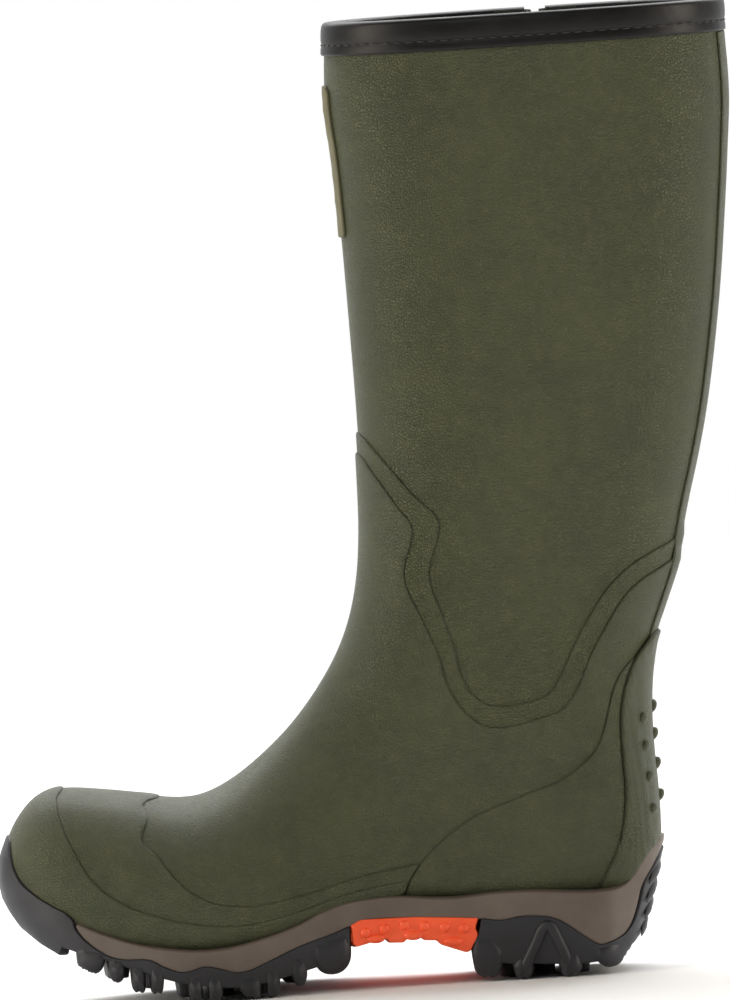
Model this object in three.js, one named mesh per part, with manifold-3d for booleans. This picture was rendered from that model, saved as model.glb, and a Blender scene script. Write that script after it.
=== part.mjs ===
// Insulated rubber hunting boot, right foot.
// Millimetres, +Z up, toe towards -X, inner side of the foot towards -Y.
// The finished group is centred over its footprint, with the tread standing on Z = 0.
import * as THREE from "three";
import { mergeVertices } from "three/addons/utils/BufferGeometryUtils.js";
import Module from "manifold-3d";

const wasm = await Module();
wasm.setup();

// ---------------------------------------------------------------- driving sizes
const SOLE_LENGTH = 305; // toe bumper to the back of the heel
const BOOT_HEIGHT = 443; // floor to the top of the rim
const SOLE_WIDTH = 108; // across the ball of the foot
const RIM_WIDTH = 106; // shaft, side to side, at the rim
const RUBBER_WALL = 1.8;
const INSULATION_WALL = 4.2;
const LINING_WALL = 1.2;
const LAYER_WALL = 0.7; // each vulcanised rubber layer on the outside
const STIFFENER_WALL = 0.9; // toe puff, heel counter and insole board
const MIDSOLE_WALL = 2; // foxing outside the outermost layer
const FIT_GAP = 0.25; // between parallel skins
const CUT_GAP = 0.3; // between pieces cut to each other
const BINDING_WALL = 1.2;
const BINDING_DROP = 15; // how far the binding reaches down the outside
const BINDING_INSIDE_DROP = 7;
const THREAD = 0.7;
const STITCH_DROP = 10.4; // stitch line below the rim
const SLIT_LENGTH = 125;
const SLIT_GAP = 9.5; // at the rim
const SLIT_BEHIND_CENTRE = 6; // slit, behind the middle of the rim
const CLOTH_WALL = 0.8;
const PLEAT_DEPTH = 14;
const FOOTBED_WALL = 4.5;
const FOOTBED_COVER = 1;
const STRAP_WIDTH = 20;
const STRAP_WALL = 2;
const STRAP_DROP = 42; // strap centre below the rim
const BADGE_WIDTH = 30;
const BADGE_HEIGHT = 70;
const BADGE_WALL = 1.2;
const BADGE_DROP = 29; // badge top below the rim
const LUG_REACH = 19; // edge lugs, inwards from the sole edge
const SHANK_WIDTH = 22;
const SHANK_WALL = 1.5;

// ---------------------------------------------------------------- what follows from them
const LAST_LENGTH = 305; // the outlines below are drawn on a last of this size
const LAST_HEIGHT = 443;
const LAST_WIDTH = 108;
// The shaft's level sections end here, and only what is above stretches with the height.
const ANKLE_HEIGHT = 215;
const LAYER_STEP = LAYER_WALL + FIT_GAP;
const MOST_LAYERS = 4;
const SHELL_INSET = MIDSOLE_WALL + MOST_LAYERS * LAYER_STEP; // sole edge to the bare shell
const INSULATION_AT = RUBBER_WALL + FIT_GAP;
const LINING_AT = INSULATION_AT + INSULATION_WALL + FIT_GAP;
const INSIDE_AT = LINING_AT + LINING_WALL; // the surface that the foot meets
const PIVOT_X = 85; // where the sections stand upright, over the ball of the foot

const fore = (x) => (x * SOLE_LENGTH) / LAST_LENGTH;
const out = (y) => (y * SOLE_WIDTH) / LAST_WIDTH;
const up = (z) =>
  z <= ANKLE_HEIGHT ? z : ANKLE_HEIGHT +
    ((z - ANKLE_HEIGHT) * (BOOT_HEIGHT - ANKLE_HEIGHT)) / (LAST_HEIGHT - ANKLE_HEIGHT);
const side = (points) => points.map(([x, z]) => [fore(x), up(z)]);

// ---------------------------------------------------------------- lines of the last, [x from the toe, z]
const TIP = [SHELL_INSET, 58];
const FRONT_LINE = [
  ...side([
    [175.6, 446], [173.4, 427], [172.6, 405], [174.6, 380], [175.8, 350], [176.8, 310], [177.6, 265],
      [177.6, 235],
    [176.8, 208], [174.4, 187], [169.6, 168], [162, 151], [149.5, 132.5], [133.5, 115], [111, 97.8],
      [96, 91.2],
    [85, 90.2], [67, 92.6], [49, 95.4], [35, 97], [28, 96.6], [20.5, 93.3], [13.8, 86.4], [8.9, 78],
  ]),
  [SHELL_INSET + 0.6, 68],
  TIP,
];
const BACK_LINE = [
  ...side([
    [356.4, 446], [356.8, 428], [357.2, 400], [354.8, 373], [352.3, 350], [346.6, 305], [338.5, 259],
      [333, 236],
    [326.8, 214], [319.5, 187], [312, 168], [305.6, 152], [302, 135], [300.4, 118], [300.3, 100],
      [301, 82],
    [300.9, 62], [298.5, 46], [293, 38], [283, 34.6], [265, 33.6], [245, 34], [225, 36], [205, 37.5],
      [185, 37],
    [165, 33.5], [145, 28.5], [120, 22.8], [100, 20.6], [85, 20.4], [65, 22.5], [45, 27.5], [28, 34.5],
      [14, 44],
  ]),
  [SHELL_INSET + 1.4, 51],
  TIP,
];
// Sole edge seen from above, [x, y], from the toe tip to the back of the heel.
const edge = (points) => points.map(([x, y]) => [fore(x), out(y)]);
const MEDIAL_EDGE = edge([
  [0, -6], [2.5, -19], [9, -30], [22, -40], [45, -48], [72, -52.4], [95, -52.6], [120, -49],
    [150, -41.5], [180, -36],
  [210, -34.6], [238, -36.6], [262, -38.6], [282, -36], [296, -26], [303, -13], [305, 0],
]);
const LATERAL_EDGE = edge([
  [0, -6], [2, 4], [8, 16], [20, 27.5], [40, 38.5], [65, 47.5], [92, 53.4], [118, 55.6], [145, 54],
    [172, 49],
  [205, 43], [235, 40.6], [262, 39.6], [282, 36], [296, 26], [303, 13], [305, 0],
]);

// Stations along the boot: 0 rim, 1 top of the ankle, 1 to 2 the fan of sections round the instep, 3 toe
// tip.
// Shares of a section's length that its front and back caps take, and how square they are.
const CAPS = [
  // station, front share, back share, front power, back power
  [0, 0.48, 0.46, 2.25, 2.25], [0.5, 0.48, 0.46, 2.2, 2.2], [1, 0.46, 0.45, 2.1, 2.1],
    [1.17, 0.42, 0.4, 2.1, 2.15],
  [1.33, 0.34, 0.29, 2.1, 2.2], [1.44, 0.32, 0.2, 2.1, 2.4], [1.55, 0.4, 0.16, 2.1, 2.6],
    [1.67, 0.52, 0.17, 2.1, 2.7],
  [1.83, 0.6, 0.18, 2.1, 2.7], [2, 0.66, 0.19, 2.15, 2.6], [2.35, 0.62, 0.23, 2.2, 2.4],
    [2.6, 0.55, 0.35, 2.2, 2.2],
  [3, 0.5, 0.5, 2, 2],
];
// Half widths of the shaft and ankle, down to where the sole edge sets them.
const SHAFT_HALVES = [
  [0, RIM_WIDTH / 2], [0.35, RIM_WIDTH / 2 - 0.6], [0.7, RIM_WIDTH / 2 - 3], [1, RIM_WIDTH / 2 - 8],
  [1.14, RIM_WIDTH / 2 - 12], [1.28, RIM_WIDTH / 2 - 15.5], [1.42, RIM_WIDTH / 2 - 18],
];
const SOLE_STATION = 1.54; // from here to the toe the sole edge sets the width
const TOE_STATION = 2.4; // from here forward the caps shrink with the section
const TIP_SIDE = out(-6); // the toe tip lies towards the inner side
const RIDGE = [[0, 0], [1, 0], [1.6, out(-3)], [2, out(-6)], [2.5, out(-7)], [3, TIP_SIDE]]; // the crest
const KEEL = [[0, 0], [1.5, 0], [2, 0], [2.6, out(-4)], [3, TIP_SIDE]]; // the underside's middle

// ---------------------------------------------------------------- curves
const lerp = (a, b, k) => a + (b - a) * k;

function curve(points, steps = 6) {
  const spline = new THREE.CatmullRomCurve3(points.map(([x, z]) => new THREE.Vector3(x, 0, z)), false,
    "centripetal");
  return spline.getPoints((points.length - 1) * steps).map((p) => [p.x, p.z]);
}

// A smooth value through [station, value, ...] rows.
function valueAt(rows, s, column = 1) {
  let i = 0;
  while (i < rows.length - 2 && s > rows[i + 1][0]) i++;
  const slope = (j) => {
    const a = rows[Math.max(0, j - 1)];
    const b = rows[Math.min(rows.length - 1, j + 1)];
    return (b[column] - a[column]) / (b[0] - a[0]);
  };
  const span = rows[i + 1][0] - rows[i][0];
  const k = Math.min(1, Math.max(0, (s - rows[i][0]) / span));
  const [p, q] = [rows[i][column], rows[i + 1][column]];
  return (
    p * (1 + 2 * k) * (1 - k) ** 2 + q * k * k * (3 - 2 * k) + span *
      (slope(i) * k * (1 - k) ** 2 - slope(i + 1) * k * k * (1 - k))
  );
}

// Moves a line by t towards its inside; turn is +1 where the inside is on its left.
function offset(line, t, turn) {
  return line.map(([x, z], i) => {
    if (i === line.length - 1 && Math.abs(x - line[0][0]) > 1) return [x + (x < PIVOT_X ? t : -t), z];
    const a = line[Math.max(0, i - 1)];
    const b = line[Math.min(line.length - 1, i + 1)];
    const [dx, dz] = [b[0] - a[0], b[1] - a[1]];
    const length = Math.hypot(dx, dz);
    return [x - (turn * t * dz) / length, z + (turn * t * dx) / length];
  });
}

// How far along a ray a line crosses it.
function crossing(line, [ox, oz], [dx, dz]) {
  for (let i = 0; i < line.length - 1; i++) {
    const [a, b] = [line[i], line[i + 1]];
    const sa = dx * (a[1] - oz) - dz * (a[0] - ox);
    const sb = dx * (b[1] - oz) - dz * (b[0] - ox);
    if (sa * sb > 0 || sa === sb) continue;
    const k = sa / (sa - sb);
    const r = dx * (lerp(a[0], b[0], k) - ox) + dz * (lerp(a[1], b[1], k) - oz);
    if (r > -1e-6) return r;
  }
  return null;
}

const front = curve(FRONT_LINE);
const back = curve(BACK_LINE);
const medial = curve(MEDIAL_EDGE);
const lateral = curve(LATERAL_EDGE);
const skins = new Map();
// The last's lines at depth t under the bare shell's surface; a negative t is outside it.
function skin(t) {
  if (!skins.has(t))
    skins.set(t, {
      front: offset(front, t, 1),
      back: offset(back, t, -1),
      medial: offset(medial, SHELL_INSET + t, 1).map((p, i, l) => (i ? p : [SHELL_INSET + t, l[0][1]])),
      lateral: offset(lateral, SHELL_INSET + t,
        -1).map((p, i, l) => (i ? p : [SHELL_INSET + t, l[0][1]])),
    });
  return skins.get(t);
}

function edgeAt(line, x) {
  const r = crossing(line, [x, -200], [0, 1]);
  return r === null ? line[0][1] : r - 200;
}

// ---------------------------------------------------------------- the last's surface
const FRONT_STEPS = 4;
const BACK_STEPS = 4;

function sectionAt(s, t) {
  const lines = skin(t);
  const pivot = [fore(PIVOT_X), ANKLE_HEIGHT];
  let origin;
  let direction;
  if (s <= 1) {
    origin = [0, lerp(BOOT_HEIGHT, ANKLE_HEIGHT, s)];
    direction = [1, 0];
  } else if (s <= 2) {
    const turn = ((s - 1) * Math.PI) / 2;
    origin = pivot;
    direction = [Math.cos(turn), -Math.sin(turn)];
  } else {
    const tip = SHELL_INSET + t;
    origin = [tip + (pivot[0] - tip) * Math.max(1e-6, (3 - s) ** 2), ANKLE_HEIGHT];
    direction = [0, -1];
  }
  const from = crossing(lines.front, origin, direction) ?? ANKLE_HEIGHT - TIP[1];
  const to = crossing(lines.back, origin, direction) ?? ANKLE_HEIGHT - TIP[1];
  const length = Math.max(1e-4, to - from);
  const [keel, ridge] = [valueAt(KEEL, s), valueAt(RIDGE, s)];
  const shares = [valueAt(CAPS, s, 1), valueAt(CAPS, s, 2)];
  if (s > 2 && t !== 0) {
    const halves = [keel - edgeAt(lines.medial, origin[0]), edgeAt(lines.lateral, origin[0]) - keel];
    const caps = s < TOE_STATION ? sectionAt(s, 0).caps.map((c) => c - t) :
      shares.map((share) => share * length);
    return { origin, direction, from, length, halves: halves.map((w) => Math.max(0, w)), caps, keel,
      ridge };
  }
  // The centres of the two caps stay where they are at every depth, so skins lie parallel.
  if (t !== 0) {
    const bare = sectionAt(s, 0);
    return { ...bare, from, length, halves: bare.halves.map((w) => w - t),
      caps: bare.caps.map((c) => c - t) };
  }
  const caps = shares.map((share) => share * length);
  const widest = origin[0] + direction[0] * (to - caps[1]);
  const sole = [keel - edgeAt(lines.medial, widest), edgeAt(lines.lateral, widest) - keel];
  const halves = sole.map((w, i) => {
    if (s >= SOLE_STATION) return Math.max(0, w);
    const at = sectionWidth[i] ?? w;
    return valueAt([...SHAFT_HALVES, [SOLE_STATION, at], [SOLE_STATION + 0.3, at + 6]], s);
  });
  return { origin, direction, from, length, halves, caps, keel, ridge };
}
const sectionWidth = [];
sectionAt(SOLE_STATION, 0).halves.forEach((w, i) => (sectionWidth[i] = w));

// A closed ring of points round one section: down the inner side and back up the outer side.
function ringAt(s, t) {
  const q = sectionAt(s, t);
  const [frontCap, backCap] = q.caps;
  const [frontPower, backPower] = [2 / valueAt(CAPS, s, 3), 2 / valueAt(CAPS, s, 4)];
  const outline = [];
  for (let i = 0; i <= FRONT_STEPS; i++) {
    const a = (i / FRONT_STEPS) * (Math.PI / 2);
    outline.push([frontCap * (1 - Math.cos(a) ** frontPower), Math.sin(a) ** frontPower]);
  }
  for (let i = BACK_STEPS; i >= 0; i--) {
    const a = (i / BACK_STEPS) * (Math.PI / 2);
    outline.push([q.length - backCap * (1 - Math.cos(a) ** backPower), Math.sin(a) ** backPower]);
  }
  const place = ([d, w], sign) => {
    const r = q.from + d;
    const middle = lerp(q.ridge, q.keel, d / q.length);
    return new THREE.Vector3(q.origin[0] + q.direction[0] * r,
      middle + sign * w * q.halves[sign < 0 ? 0 : 1], q.origin[1] + q.direction[1] * r);
  };
  return [...outline.map((p) => place(p, -1)), ...outline.slice(1, -1).reverse().map((p) => place(p, 1))];
}

const RIM_AT = BOOT_HEIGHT - BINDING_WALL - FIT_GAP; // top of the walls, under the binding's roll
const RIM_STATION = (BOOT_HEIGHT - RIM_AT) / (BOOT_HEIGHT - ANKLE_HEIGHT);
const BINDING_STATION = BINDING_DROP / (BOOT_HEIGHT - ANKLE_HEIGHT);
const STATIONS = [
  0, RIM_STATION, BINDING_STATION, 0.2, 0.4, 0.6, 0.8, 1, 1.12, 1.22, 1.31, 1.39, 1.47, 1.54, 1.63, 1.75,
    1.88, 2, 2.2, 2.4,
  2.6, 2.78, 2.92, 3,
];

// ---------------------------------------------------------------- solids
function solidFrom(triangles) {
  const soup = new THREE.BufferGeometry().setFromPoints(triangles.flat());
  soup.deleteAttribute("normal");
  soup.deleteAttribute("uv");
  const merged = mergeVertices(soup, 1e-4);
  const kept = [];
  const index = merged.index.array;
  for (let i = 0; i < index.length; i += 3) {
    const [a, b, c] = [index[i], index[i + 1], index[i + 2]];
    if (a !== b && b !== c && a !== c) kept.push(a, b, c);
  }
  let made = new wasm.Manifold(
    new wasm.Mesh({ numProp: 3, vertProperties: merged.attributes.position.array,
      triVerts: new Uint32Array(kept) }),
  );
  if (made.volume() < 0) return solidFrom(triangles.map(([a, b, c]) => [a, c, b]));
  return made;
}

function band(rings) {
  const found = [];
  for (let i = 0; i < rings.length - 1; i++) {
    const [a, b] = [rings[i], rings[i + 1]];
    a.forEach((_, j) => {
      const k = (j + 1) % a.length;
      found.push([a[j], a[k], b[k]], [a[j], b[k], b[j]]);
    });
  }
  return found;
}

function cap(ring, flip) {
  const middle = ring.reduce((sum, p) => sum.clone().add(p),
    new THREE.Vector3()).divideScalar(ring.length);
  return ring.map((p, i) => {
    const q = ring[(i + 1) % ring.length];
    return flip ? [middle, q, p] : [middle, p, q];
  });
}

// A capped stack of rings.
const stack = (rings) => solidFrom([...band(rings), ...cap(rings[0], true), ...cap(rings.at(-1), false)]);

// Every skin keeps to the shared stations, so parallel skins have parallel facets.
const stationsFrom = (s0, s1) => {
  const first = STATIONS.findLastIndex((s) => s <= s0);
  return STATIONS.slice(first, STATIONS.findIndex((s) => s >= s1) + 1);
};

// Everything inside depth t, from station s0 to s1.
function filled(t, s0 = 0, s1 = 3) {
  const rings = stationsFrom(s0, s1).map((s) => ringAt(s, t));
  return solidFrom([...band(rings), ...cap(rings[0], true), ...(s1 < 3 ? cap(rings.at(-1), false) : [])]);
}

// The wall between depth outer and depth inner.
function wall(outer, inner, s0 = 0, s1 = 3) {
  const stations = stationsFrom(s0, s1);
  const outside = stations.map((s) => ringAt(s, outer));
  const inside = stations.map((s) => ringAt(s, inner));
  const ends = [...band([inside[0], outside[0]]),
    ...(s1 < 3 ? band([outside.at(-1), inside.at(-1)]) : [])];
  // Both faces split their quads the same way, so that neighbouring skins never cross.
  return solidFrom([...band(outside), ...band(inside).map(([a, b, c]) => [a, c, b]), ...ends]);
}

// A prism of an outline drawn in one view: side is [x, z], front is [y, z], top is [x, y].
function prism(view, points, from, to) {
  const shape = new THREE.Shape(points.map(([a, b]) => new THREE.Vector2(a, b)));
  const made = new THREE.ExtrudeGeometry(shape, { depth: to - from, bevelEnabled: false });
  const place = {
    side: (v) => v.set(v.x, from + v.z, v.y),
    front: (v) => v.set(from + v.z, v.x, v.y),
    top: (v) => v.set(v.x, v.y, from + v.z),
  }[view];
  const position = made.attributes.position;
  const corners = Array.from({ length: position.count },
    (_, i) => place(new THREE.Vector3().fromBufferAttribute(position, i)));
  return solidFrom(corners.reduce((all, p, i) => (i % 3 ? all.at(-1).push(p) : all.push([p]), all), []));
}

const FAR = 2 * BOOT_HEIGHT;
const across = (points) => prism("side", points, -FAR, FAR);
// A box that holds every side view outline which ends off the boot.
const box = (x0, x1, y0, y1, z0, z1) => prism("top", [[x0, y0], [x1, y0], [x1, y1], [x0, y1]], z0, z1);

// A trimmed piece without the crumbs that a cut can leave beside it.
const mainBody = (solid) => solid.decompose().reduce((best,
  body) => (body.volume() > best.volume() ? body : best));

function show(name, whole, finish) {
  const solid = mainBody(whole);
  const mesh = solid.getMesh();
  const count = mesh.vertProperties.length / mesh.numProp;
  const positions = new Float32Array(count * 3);
  for (let i = 0; i < count; i++) positions.set(mesh.vertProperties.subarray(i * mesh.numProp,
    i * mesh.numProp + 3), i * 3);
  const geometry = new THREE.BufferGeometry();
  geometry.setAttribute("position", new THREE.BufferAttribute(positions, 3));
  geometry.setIndex(new THREE.BufferAttribute(mesh.triVerts, 1));
  geometry.computeVertexNormals();
  const shown = new THREE.Mesh(geometry, finish);
  shown.name = name;
  boot.add(shown);
  return shown;
}

const finish = (color, roughness,
  metalness = 0) => new THREE.MeshStandardMaterial({ color, roughness, metalness });
const GREEN_RUBBER = finish(0x4a4b38, 0.55);
const BLACK_BINDING = finish(0x2e2b2d, 0.5);
const BLACK_RUBBER = finish(0x2f2e33, 0.6);
const TAUPE_RUBBER = finish(0x574c46, 0.65);
const ORANGE_RUBBER = finish(0xe8562f, 0.5);
const OLIVE_RUBBER = finish(0x5c5a38, 0.55);
const NEOPRENE = finish(0x26282a, 0.9);
const LINING_KNIT = finish(0x34372c, 0.95);
const GUSSET_CLOTH = finish(0x33362b, 0.85);
const FIBRE_BOARD = finish(0x8d8270, 0.9);
const FELT = finish(0x55564f, 0.95);
const SPRING_STEEL = finish(0x9a9ca0, 0.35, 1);
const GUNMETAL = finish(0x4b4a49, 0.4, 1);
const THREAD_BLACK = finish(0x1b1a1b, 0.7);

const boot = new THREE.Group();

// ---------------------------------------------------------------- side view outlines of the layers
const CREST = BOOT_HEIGHT + 20;
// Top edge of the taupe foxing, from the toe bumper to the back of the heel.
const FOXING_TOP = side([
  [33, 41.5], [45, 35.6], [60, 29.8], [73, 26.8], [90, 24.6], [104, 25], [117, 27.4], [136, 33],
    [146, 37.6], [157, 41],
  [170, 42.4], [182, 42.4], [197, 40.6], [208, 40], [228, 41.2], [245, 41], [262, 39.6], [277, 39.2],
    [285, 40.6],
  [290, 44.6], [295, 51], [300, 57], [306, 61.5],
]);
const BUMPER_TOP = [[-20, 80],
  ...side([[5.6, 80], [5.9, 73], [6.8, 66], [10, 59.6], [17, 53.2], [25, 48], [30, 45.2], [33.2, 41.5]])];
const SOLE_TOP = [...BUMPER_TOP, ...FOXING_TOP.slice(1), [FAR, FOXING_TOP.at(-1)[1]]];
const LAYER_TUCK = 2; // the layers reach this far down inside the foxing
const tuckLine = SOLE_TOP.map(([x, z]) => [x, z - LAYER_TUCK]);
const ANKLE_LINE = side([
  [150, 262], [177, 251.4], [185, 243.5], [196, 231.7], [206.5, 221.8], [211, 217], [212, 211.5],
    [210.4, 203], [207, 193.5],
  [206.4, 185], [208.6, 175.6], [214, 161.4], [218.7, 147.2], [221.6, 134], [226, 125.6], [234.4, 119],
    [243.5, 117.3],
  [255, 118.4], [264.5, 122], [272, 128], [279.5, 138.7], [287.2, 152], [295, 165.3], [305, 177.5],
    [317, 186], [345, 203],
]);
const VAMP_LINE = side([
  [150, 252], [176.5, 242.2], [182, 235.8], [190.6, 224.2], [197, 216.4], [199.8, 210.7], [199, 203.9],
    [195.6, 193],
  [194.9, 184.8], [198.6, 171.6], [204.5, 155.1], [209, 138.7], [212.4, 128.6], [218, 119], [225, 113.6],
    [236.2, 112],
  [252.5, 113.7], [266.6, 118.7], [276.3, 126.4], [284, 138.4], [294.4, 155.2], [307, 169.1],
    [319, 177.6], [345, 192],
]);
const TOE_GUARD_LINE = side([
  [84, 110], [84, 97], [76, 92.4], [66.5, 92.3], [68.8, 89.3], [69.7, 85.5], [68, 81.3], [66.4, 77.4],
    [67.4, 73.7],
  [71.5, 68], [75.2, 63.2], [79, 57.6], [82.8, 52], [88.3, 46], [94.6, 42.2], [102.3, 40], [112.4, 39],
    [120, 38.7],
  [135.5, 39.4], [156.8, 44.4], [176.6, 48.8], [186.6, 50.2],
]);
const TOE_CAP_LINE = side([
  [34, 112], [31, 100], [28.8, 98.7], [28.2, 94.4], [29, 89], [31.2, 82], [33.5, 76.5], [37, 69],
    [42, 60.1], [48, 52.8],
  [54.2, 47.9], [61.8, 43.5], [69.4, 41.1], [79.3, 37.8], [90.7, 34.8], [102, 33.5], [113.7, 33.2],
    [132.7, 36.9],
  [145.6, 40.2], [164.9, 44], [181, 45],
]);
const HEEL_PANEL_LINE = side([
  [181.6, 44], [183.5, 47.6], [187, 52.4], [192.8, 58.2], [198.5, 62.7], [206, 67.6], [215.5, 71.5],
    [228.5, 76.3],
  [242.9, 83.1], [255.8, 88], [262.2, 91.2], [268, 95.4], [272.6, 99.7], [275.3, 103.5], [278, 108.7],
    [280.8, 117.7],
  [282.6, 124.4], [285.2, 130.3], [288.6, 135.3], [292.7, 139.5], [298.6, 144.7], [304, 151.4],
    [330, 160],
]);
const KICK_LINE = side([
  [271.4, 30], [272, 38], [275.7, 45], [278.8, 51], [281.8, 57], [284.4, 64.7], [285.8, 72.3],
    [286.8, 82.2],
  [287, 91.4], [286.6, 100.6], [286.1, 107.4], [286.5, 114.2], [287.5, 121.8], [289, 130.2],
    [291.6, 137.8], [294.6, 142.7],
  [300, 147.4], [330, 154],
]);

// The side view region under a line that runs from the front of the boot to its back.
const under = (line) => across([...line, [FAR, line.at(-1)[1]], [FAR, -FAR], [-FAR, -FAR],
  [-FAR, line[0][1]]]);
const aboveTuck = across([...tuckLine, [FAR, CREST + FAR], [-20, CREST + FAR]]);
const layer = (level, s0, s1) => wall(-level * LAYER_STEP, -level * LAYER_STEP + LAYER_WALL, s0, s1);

const rimMiddle = (FRONT_LINE[0][0] + BACK_LINE[0][0]) / 2;
const slitX = rimMiddle + SLIT_BEHIND_CENTRE;
const slit = (spread) =>
  prism(
    "side",
    [
      [slitX - SLIT_GAP / 2 - spread, BOOT_HEIGHT + 5], [slitX, BOOT_HEIGHT - SLIT_LENGTH - spread],
      [slitX + SLIT_GAP / 2 + spread, BOOT_HEIGHT + 5],
    ],
    0,
    FAR,
  );

// ---------------------------------------------------------------- body of the boot
const bareShell = filled(0);
show("rubber_shell", wall(0, RUBBER_WALL, RIM_STATION).subtract(slit(0)), GREEN_RUBBER);
show("ankle_layer", layer(1, 0.7).intersect(under(ANKLE_LINE)).intersect(aboveTuck), GREEN_RUBBER);
show("vamp_layer", layer(2, 0.75).intersect(under(VAMP_LINE)).intersect(aboveTuck), GREEN_RUBBER);

const heelSide = across([
  ...HEEL_PANEL_LINE, [FAR, HEEL_PANEL_LINE.at(-1)[1]], [FAR, -FAR], [HEEL_PANEL_LINE[0][0], -FAR],
]);
const heelSideGrown = across([
  ...HEEL_PANEL_LINE.map(([x, z]) => [x - CUT_GAP, z + CUT_GAP]), [FAR, 2 * HEEL_PANEL_LINE.at(-1)[1]],
    [FAR, -FAR],
  [HEEL_PANEL_LINE[0][0] - CUT_GAP, -FAR],
]);
const toeSide = (line) => across([...line, [line.at(-1)[0], -FAR], [-FAR, -FAR], [-FAR, line[0][1]]]);
show("toe_guard",
  layer(3, 1.5).intersect(toeSide(TOE_GUARD_LINE)).subtract(heelSideGrown).intersect(aboveTuck),
    GREEN_RUBBER);
show("toe_cap",
  layer(4, 1.5).intersect(toeSide(TOE_CAP_LINE)).subtract(heelSideGrown).intersect(aboveTuck),
    GREEN_RUBBER);
show("heel_panel", layer(3, 1, 1.7).intersect(heelSide).intersect(aboveTuck), GREEN_RUBBER);

// Kick guard at the back of the heel, with its column of nubs and a column each side.
const NUB_RADIUS = 2.6;
const kickRegion = across([...KICK_LINE, [FAR, KICK_LINE.at(-1)[1]], [FAR, 30]]);
let kickGuard = layer(4, 1, 1.6).intersect(kickRegion).intersect(aboveTuck);
function domeAt(centre, radius) {
  const ball = new THREE.IcosahedronGeometry(radius, 0).attributes.position;
  const corners = Array.from({ length: ball.count },
    (_, i) => new THREE.Vector3().fromBufferAttribute(ball, i).add(centre));
  return solidFrom(corners.reduce((all, p, i) => (i % 3 ? all.at(-1).push(p) : all.push([p]), all), []));
}
const KICK_SKIN = -4 * LAYER_STEP;
const HEEL_NUBS = [79, 93, 107, 122]; // heights of the middle column
const SIDE_NUBS = [72, 87, 102, 117];
const nubs = [
  ...HEEL_NUBS.map((z) => [z, 0]),
  ...SIDE_NUBS.flatMap((z) => [[z, -1], [z, 1]]),
].map(([z, sideways]) => {
  const x = crossing(skin(KICK_SKIN).back.slice().reverse(), [FAR, z], [-1, 0]);
  return new THREE.Vector3(FAR - x - Math.abs(sideways) * 5.2 - 0.4, sideways * 14, z);
});
for (const centre of nubs) kickGuard =
  kickGuard.add(domeAt(centre, NUB_RADIUS).subtract(filled(-3.5 * LAYER_STEP, 1, 1.6)));
show("heel_kick_guard", kickGuard, GREEN_RUBBER);

// Back strip, from under the binding to the ankle layer, narrowing downwards.
const stripTop = BOOT_HEIGHT - BINDING_DROP - CUT_GAP;
const STRIP_HALF_TOP = 17.5;
const STRIP_HALF_LOW = 11;
const strip = prism("front", [[-STRIP_HALF_LOW, 150], [STRIP_HALF_LOW, 150], [STRIP_HALF_TOP, stripTop],
  [-STRIP_HALF_TOP, stripTop]], rimMiddle, FAR);
const ankleGrown = under(ANKLE_LINE.map(([x, z]) => [x - CUT_GAP, z + CUT_GAP]));
show("back_strip", layer(1, 0, 1.2).intersect(strip).subtract(ankleGrown), GREEN_RUBBER);

const badgeTop = BOOT_HEIGHT - BADGE_DROP;
const BADGE_CORNER = 3;
const badgeOutline = [];
for (const [cx, cz, from] of [[1, 0, 0], [-1, 0, 90], [-1, -1, 180], [1, -1, 270]])
  for (const turn of [0, 45, 90]) {
    const a = ((from + turn) * Math.PI) / 180;
    badgeOutline.push([
      cx * (BADGE_WIDTH / 2 - BADGE_CORNER) + BADGE_CORNER * Math.cos(a),
      badgeTop - BADGE_CORNER + cz * (BADGE_HEIGHT - 2 * BADGE_CORNER) + BADGE_CORNER * Math.sin(a),
    ]);
  }
show("front_badge", wall(-FIT_GAP - BADGE_WALL, -FIT_GAP, 0,
  0.6).intersect(prism("front", badgeOutline, 0, rimMiddle)), OLIVE_RUBBER);

// ---------------------------------------------------------------- inside the boot
const insulationSkin = [INSULATION_AT, INSULATION_AT + INSULATION_WALL];
const stiffenerSkin = [INSULATION_AT, INSULATION_AT + STIFFENER_WALL];
const counterRegion = (grow) =>
  across([[232 - grow, 43 - grow], [FAR, 43 - grow], [FAR, 112 + grow], [276 - grow, 112 + grow],
    [244 - grow, 66]]);
const floorRegion = (grow) =>
  across([[12 - grow, 43 + grow], [45, 32.5 + grow], [100, 25 + grow], [140, 31.4 + grow],
    [185, 40.6 + grow], [265, 38 + grow],
    [284 + grow, 40.4 + grow], [284 + grow, -50], [12 - grow, -50]].map(([x, z]) => [fore(x), z]));
const toeRegion = (grow) =>
  across([[-20, 34 - grow], [70 + grow, 34 - grow], [46 + grow, 120],
    [-20, 120]]).subtract(floorRegion(CUT_GAP - grow));
let insulation = wall(...insulationSkin, RIM_STATION).subtract(slit(0));
const stiffeners = { toe_puff: toeRegion, heel_counter: counterRegion, insole_board: floorRegion };
for (const [name, region] of Object.entries(stiffeners)) {
  const clear = wall(stiffenerSkin[0] - FIT_GAP / 2, stiffenerSkin[1] + FIT_GAP,
    1).intersect(region(CUT_GAP));
  insulation = insulation.subtract(clear);
  show(name, wall(...stiffenerSkin, 1).intersect(region(0)),
    name === "insole_board" ? FIBRE_BOARD : FELT);
}
show("insulation_sleeve", insulation, NEOPRENE);
show("lining", wall(LINING_AT, INSIDE_AT, RIM_STATION).subtract(slit(0)), LINING_KNIT);

// ---------------------------------------------------------------- sole
const SOLE_STEPS = 56;
const SOLE_LEVELS = [-2, 8, 16, 24, 32, 40, 50, 60, 70, 84];
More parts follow.
